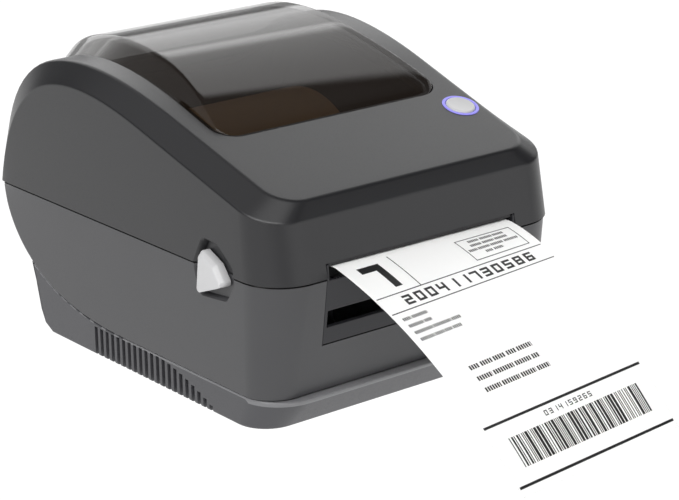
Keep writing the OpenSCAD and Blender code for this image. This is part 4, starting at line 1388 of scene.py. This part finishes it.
@dataclass
class LabelWeb:
    """The paper web and what is printed on the label outside the slot.

    Places on the label are given as (distance from the exit, distance from mid-width), in
    millimetres, with the distance from the exit measured along the middle.
    """

    width: float = 101.6
    thickness: float = 0.2
    left: tuple[Flat, ...] = ((0, 4.6), (-42, -5), (-84, -27), (-120, -62))
    right: tuple[Flat, ...] = ((0, 3.8), (-30, 0), (-74, -26), (-108, -62.6))
    roll_at: Flat = (148.0, -8.0)
    lift: float = 45.5
    nose: Flat = (65.2, -1.7)
    inside: tuple[Flat, ...] = ((64.0, -1.3), (21.0, 3.75), (13.0, 3.75))
    rows: int = 66
    lanes: int = 16
    ink_height: float = 0.03

    def surface(self, t: float, v: float) -> Vector:
        """Middle of the sheet outside the slot, as a drawing point.

        Args:
            t: share along its curves.
            v: distance from mid-width.

        Returns:
            The drawing point.
        """
        share = v / self.width + 0.5
        a, b = cubic(self.left, t), cubic(self.right, t)
        return Vector((v, mix(a[0], b[0], share), mix(a[1], b[1], share)))

    def lengths(self) -> list[float]:
        """Distance from the exit along the middle at each of 201 even shares."""
        out = [0.0]
        for k in range(200):
            out.append(out[-1] + (self.surface((k + 1) / 200, 0) - self.surface(k / 200, 0)).length)
        return out

    def share_at(self, distance: float, lengths: Sequence[float]) -> float:
        """The share along the curves at a distance from the exit."""
        for k in range(200):
            if lengths[k + 1] >= distance:
                return (k + (distance - lengths[k]) / (lengths[k + 1] - lengths[k])) / 200
        return 1.0

    def lifted(self, t: float, v: float, up: float) -> Vector:
        """A drawing point above (or below) the sheet's middle."""
        e = 0.004
        along = self.surface(min(t + e, 1), v) - self.surface(max(t - e, 0), v)
        normal = Vector((1, 0, 0)).cross(along)
        if normal.z < 0:
            normal = -normal
        return self.surface(t, v) + normal.normalized() * up

    def sheet(self) -> bpy.types.Object:
        """The whole web, from the underside of the roll to the label's free end."""
        y, z = self.nose[0] - self.roll_at[0], self.nose[1] - self.roll_at[1]
        bearing = math.degrees(math.atan2(-z, -y))
        touch = bearing - math.degrees(math.asin(self.lift / math.hypot(y, z))) - 90
        path: list[Flat] = []
        for k in range(9):
            a = math.radians(touch + 24 - 3 * k)
            y, z = self.lift * math.cos(a), self.lift * math.sin(a)
            path.append((self.roll_at[0] + y, self.roll_at[1] + z))
        path += [self.nose, *self.inside]
        half = self.thickness / 2
        top: list[Vector] = []
        low: list[Vector] = []
        for i, p in enumerate(path):
            a = Vector((0, *path[max(i - 1, 0)]))
            b = Vector((0, *(path[i + 1] if i + 1 < len(path) else (0.0, 4.2))))
            normal = Vector((1, 0, 0)).cross(b - a).normalized()
            if normal.z < 0:
                normal = -normal
            for j in range(self.lanes + 1):
                x = self.width * (j / self.lanes - 0.5)
                top.append(Vector((x, *p)) + normal * half)
                low.append(Vector((x, *p)) - normal * half)
        for i in range(self.rows + 1):
            for j in range(self.lanes + 1):
                v = self.width * (j / self.lanes - 0.5)
                top.append(self.lifted(i / self.rows, v, half))
                low.append(self.lifted(i / self.rows, v, -half))
        faces = slab_faces(len(path) + self.rows, self.lanes)
        sheet = make_object("label_sheet", [at(*p) for p in top + low], faces)
        weld_edges(sheet, 50)
        dress(sheet, THERMAL_PAPER)
        place_piece(sheet, "housing", "label", "label_web")
        return sheet

    def bars(self) -> list[tuple[float, float, float, float]]:
        """Printed rectangles as (near, left, far, right) in label places. All of it is made up."""
        out: list[tuple[float, float, float, float]] = []
        random.seed(11)

        def words(near: float, left: float, height: float, width: float, pitch: float) -> None:
            """A line of small blocks that stand for words."""
            x = left
            while x < left + width - pitch:
                end = min(x + pitch * random.uniform(1.2, 3.2), left + width)
                letter = x
                while letter < end:
                    stroke = min(letter + height * 0.42, end)
                    out.append((near, letter, near + height, stroke))
                    letter += height * 0.62
                x = end + height * 0.5

        for near, thick in ((24.8, 0.55), (35.0, 0.55), (100.3, 1.2), (129.2, 1.2)):
            out.append((near, -49.8, near + thick, 49.8))
        out.append((2.2, -24.1, 24.8, -23.6))
        box = (5.2, 12.6, 21.6, 45.4)
        out += [
            (box[0], box[1], box[0] + 0.5, box[3]),
            (box[2], box[1], box[2] + 0.5, box[3]),
            (box[0], box[1], box[2], box[1] + 0.45),
            (box[0], box[3] - 0.45, box[2] + 0.5, box[3]),
        ]
        for k, (indent, width) in enumerate(((6.0, 21), (5.0, 23), (1.5, 30), (9.0, 14))):
            words(7.2 + 3.3 * k, box[1] + indent, 1.7, width, 3.0)
        out += self.digits("7", 5.0, -43.5, 16.5, 12.0, 4.0)
        title = "2 0 0 4 1 1 7 3 0 5 8 6"
        for k, digit in enumerate(title.split()):
            out += self.digits(digit, 27.3, -38.0 + 6.7 * k, 5.8, 4.6, 1.25)
        for k, width in enumerate((14, 17, 27, 24)):
            words(38.6 + 4.1 * k, -47.0, 1.7, width, 3.2)
        for k, width in enumerate((41, 38, 41)):
            words(72.0 + 6.0 * k, -36.0, 2.3, width, 4.2)
        for k, digit in enumerate("0 3 1 4 1 5 9 2 6 5".split()):
            out += self.digits(digit, 103.6, -15.5 + 3.1 * k, 2.5, 1.9, 0.45)
        x = -41.0
        while x < 41.0:
            bar = random.choice((0.5, 0.5, 1.0, 1.5))
            out.append((108.6, x, 122.6, min(x + bar, 41.0)))
            x += bar + random.choice((0.5, 0.5, 1.0))
        return out

    def digits(
        self, digit: str, near: float, left: float, height: float, width: float, stroke: float
    ) -> list[tuple[float, float, float, float]]:
        """A seven-bar numeral.

        Args:
            digit: 0 to 9.
            near: its upper edge.
            left: its left edge.
            height: height along the label.
            width: width.
            stroke: thickness of the bars.

        Returns:
            Its rectangles.
        """
        lit = {
            "0": "abcdef", "1": "bc", "2": "abged", "3": "abgcd", "4": "fgbc",
            "5": "afgcd", "6": "afgedc", "7": "abc", "8": "abcdefg", "9": "abfgcd",
        }[digit]
        half = height / 2
        right = left + width
        places = {
            "a": (near, left, near + stroke, right),
            "g": (near + half - stroke / 2, left, near + half + stroke / 2, right),
            "d": (near + height - stroke, left, near + height, right),
            "b": (near, right - stroke, near + half, right),
            "c": (near + half, right - stroke, near + height, right),
            "f": (near, left, near + half, left + stroke),
            "e": (near + half, left, near + height, left + stroke),
        }
        return [places[name] for name in lit]

    def print_(self) -> bpy.types.Object:
        """The print, as thin patches bonded to the sheet's face."""
        lengths = self.lengths()
        parts = []
        for near, left, far, right in self.bars():
            steps = max(1, round((far - near) / 3))
            cols = max(1, round((right - left) / 12))
            up = self.thickness / 2 + self.ink_height
            down = self.thickness / 2 - 0.05
            points: list[Vector] = []
            for level in (up, down):
                for i in range(steps + 1):
                    t = self.share_at(mix(near, far, i / steps), lengths)
                    row = [mix(left, right, j / cols) for j in range(cols + 1)]
                    points += [at(*self.lifted(t, x, level)) for x in row]
            parts.append((points, slab_faces(steps, cols)))
        points, faces = joined(parts)
        mesh = bpy.data.meshes.new("label_print")
        mesh.from_pydata([tuple(p) for p in points], [], faces)
        obj = bpy.data.objects.new("label_print", mesh)
        bpy.context.scene.collection.objects.link(obj)
        bm = bmesh.new()
        bm.from_mesh(mesh)
        bmesh.ops.recalc_face_normals(bm, faces=bm.faces)
        bm.to_mesh(mesh)
        bm.free()
        dress(obj, THERMAL_BLACK)
        place_piece(obj, "housing", "label")
        return obj

    def build(self) -> list[bpy.types.Object]:
        """Makes the web and its print."""
        return [self.sheet(), self.print_()]


@dataclass
class CarriedNodes:
    """CAD nodes that keep their shape: softened edges and their own finishes."""

    edges: dict[str, float] = field(default_factory=lambda: {"front_panel": 0.4, "media_deck": 0.3})

    def finishes(self) -> dict[str, Finish]:
        """The finish of every node that stays in view."""
        out: dict[str, Finish] = {"front_panel": PANEL_ABS, "light_ring": LIGHT_GUIDE}
        for name in ("bay_liner", "media_deck", "gap_sensor", "switch_frame", "dc_jack", "window_frame"):
            out[name] = INNER_ABS_AND_SLOT_SHADE
        for name in ("hook_left", "hook_right", "guide_left", "guide_right", "power_rocker"):
            out[name] = INNER_ABS_AND_SLOT_SHADE
        for name in ("foot_1", "foot_2", "foot_3", "foot_4", "platen_rubber"):
            out[name] = RUBBER
        for k in range(1, 5):
            out[f"base_screw_{k}"] = STEEL
        for name in (
            "side_frame_left", "side_frame_right", "head_rail", "usb_port",
            "hinge_pin_left", "hinge_pin_right", "head_bracket", "catch_pin_left", "catch_pin_right",
            "latch_shaft", "platen_shaft",
        ):
            out[name] = STEEL
        out.update(
            tear_bar=BLACKED, stepper_motor=BLACKED, label_roll=KRAFT, roll_core=CORE_BOARD,
            main_board=BOARD, button_board=BOARD,
            print_head=CERAMIC, head_heatsink=ALUMINIUM, platen_gear=ACETAL, idler_gear=ACETAL,
            motor_gear=BRASS,
        )
        return out

    def build(self) -> None:
        """Dresses each node and rounds its edges."""
        for name, finish in self.finishes().items():
            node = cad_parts.get(name)
            if node is None:
                LOG.info("node %s is missing", name)
                continue
            node.data.materials.clear()
            node.data.materials.append(finish.material())
            weld = node.modifiers.new("weld", "WELD")
            weld.merge_threshold = 0.01 * MM
            bevel = node.modifiers.new("edge", "BEVEL")
            bevel.width = self.edges.get(name, 0.12) * MM
            bevel.segments = 2
            bevel.limit_method = "ANGLE"
            bevel.angle_limit = math.radians(40)
            normals = node.modifiers.new("normals", "WEIGHTED_NORMAL")
            normals.keep_sharp = True
        LOG.info("nodes kept: %d", len(self.finishes()))


# ---- Camera and light ------------------------------------------------------------------------


@dataclass(frozen=True)
class SoftBank:
    """A soft light bank round the printer.

    azimuth is in degrees from the printer's rear towards its right, spread half its width in degrees,
    low and high the sines of the heights at which it starts and ends, edge how soft these two are.
    """

    azimuth: float
    spread: float
    low: float
    high: float
    strength: float
    edge: float = 0.03
    side_edge: float = 8.0

    def nodes(
        self, tree: bpy.types.NodeTree, turn: bpy.types.NodeSocket, height: bpy.types.NodeSocket
    ) -> bpy.types.NodeSocket:
        """Builds the bank's light.

        Args:
            tree: the world's nodes.
            turn: the azimuth of a direction, in radians.
            height: the sine of its height.

        Returns:
            The socket that carries the strength.
        """
        soft = {"interpolation_type": "SMOOTHSTEP"}
        minus = {"operation": "SUBTRACT"}
        off = add_node(tree, "Math", minus, {1: math.radians(self.azimuth)}, {0: turn})
        near = add_node(tree, "Math", settings={"operation": "COSINE"}, links={0: off.outputs[0]})
        outer, inner = (
            math.cos(math.radians(min(max(self.spread + d, 0.0), 180.0)))
            for d in (self.side_edge, -self.side_edge)
        )
        reach = {"From Min": outer, "From Max": inner, "To Max": self.strength}
        across = add_node(tree, "MapRange", soft, reach, {"Value": near.outputs[0]})
        start = {"From Min": self.low - self.edge, "From Max": self.low + self.edge}
        above = add_node(tree, "MapRange", soft, {**start, "To Max": 1.0}, {"Value": height})
        stop = {"From Min": self.high - self.edge, "From Max": self.high + self.edge}
        below = add_node(tree, "MapRange", soft, {**stop, "To Min": 1.0, "To Max": 0.0}, {"Value": height})
        times = {"operation": "MULTIPLY"}
        rising = add_node(tree, "Math", times, links={0: across.outputs[0], 1: above.outputs[0]})
        return add_node(tree, "Math", times, links={0: rising.outputs[0], 1: below.outputs[0]}).outputs[0]


@dataclass
class Studio:
    """Camera, light table and surround."""

    table_light: float = 1.08
    base_light: float = 0.02
    banks: tuple[SoftBank, ...] = (
        SoftBank(0.0, 181.0, -0.2, 0.05, 1.0, 0.02),
        SoftBank(162.0, 26.0, 0.04, 0.22, 1.9),
        SoftBank(38.0, 46.0, 0.2, 0.54, 1.97),
        SoftBank(38.0, 46.0, 0.5, 0.745, 1.38, 0.012),
        SoftBank(-46.0, 38.0, 0.5, 0.745, 0.5),
        SoftBank(-106.0, 22.0, 0.22, 0.5, 2.8),
        SoftBank(-128.0, 44.0, 0.5, 0.745, 5.8),
        SoftBank(-143.0, 45.0, 0.745, 1.2, 1.7),
        SoftBank(-53.0, 45.0, 0.745, 1.2, 0.45),
        SoftBank(37.0, 45.0, 0.745, 1.2, 0.16),
    )

    camera_at: Point = (-0.65834, -0.82511, 0.41555)
    yaw: float = 38.287
    pitch: float = 18.635
    roll: float = -0.855
    lens: float = 128.75

    def camera(self) -> bpy.types.Object:
        """The camera at the viewing angle of the reference view."""
        yaw, pitch, roll = (math.radians(a) for a in (self.yaw, self.pitch, self.roll))
        ahead = Vector((math.sin(yaw) * math.cos(pitch), math.cos(yaw) * math.cos(pitch), -math.sin(pitch)))
        flat = Vector((math.cos(yaw), -math.sin(yaw), 0))
        up = flat.cross(ahead)
        right = flat * math.cos(roll) + up * math.sin(roll)
        top = up * math.cos(roll) - flat * math.sin(roll)
        data = bpy.data.cameras.new("camera")
        data.lens = self.lens
        data.sensor_width = 36
        data.clip_start = 0.01
        data.clip_end = 50
        camera = bpy.data.objects.new("camera", data)
        turned = Matrix((right, top, -ahead)).transposed().to_4x4()
        camera.matrix_world = Matrix.Translation(self.camera_at) @ turned
        bpy.context.scene.collection.objects.link(camera)
        bpy.context.scene.camera = camera
        return camera

    def floor(self) -> None:
        """A wide white floor, lit from below as a light table is."""
        outline = circle((0, 0), 30000.0, 64)
        points = [Vector((x * MM, y * MM, 0)) for x, y in outline]
        floor = make_object("floor", points, [tuple(range(64))])
        paint = bpy.data.materials.new("Opal acrylic light table, matt")
        paint.use_nodes = True
        tree = paint.node_tree
        tree.nodes.clear()
        lit = add_node(tree, "Emission", inputs={"Color": linear("#ffffff"), "Strength": self.table_light})
        add_node(tree, "OutputMaterial", links={"Surface": lit.outputs[0]})
        floor.data.materials.append(paint)

    def world(self) -> None:
        """A dark surround with the soft banks in it."""
        world = bpy.data.worlds.new("surround")
        world.use_nodes = True
        tree = world.node_tree
        tree.nodes.clear()
        spot = add_node(tree, "TexCoord").outputs["Generated"]
        axes = add_node(tree, "SeparateXYZ", links={0: spot}).outputs
        turn = add_node(tree, "Math", {"operation": "ARCTAN2"}, links={0: axes[0], 1: axes[1]}).outputs[0]
        total = self.base_light
        for bank in self.banks:
            light = bank.nodes(tree, turn, axes[2])
            add = add_node(tree, "Math", {"operation": "ADD"}, {1: self.base_light}, {0: light})
            if total is not self.base_light:
                tree.links.new(total, add.inputs[1])
            total = add.outputs[0]
        back = add_node(tree, "Background", inputs={"Color": linear("#ffffff")}, links={"Strength": total})
        add_node(tree, "OutputWorld", links={"Surface": back.outputs[0]})
        bpy.context.scene.world = world

    def build(self) -> None:
        """Sets the scene up."""
        bpy.context.scene.view_settings.view_transform = "Standard"
        self.camera()
        self.world()
        self.floor()


def main() -> None:
    """Builds the pieces in order and reports each."""
    shells = (LowerHousing(), BasePan(), TopCover(), SmokedWindow())
    for piece in (Studio(), CarriedNodes(), *shells, FeedControls(), ReleaseLevers(), LabelWeb()):
        piece.build()
        LOG.info("built %s", type(piece).__name__)


if __name__ == "__main__":
    main()
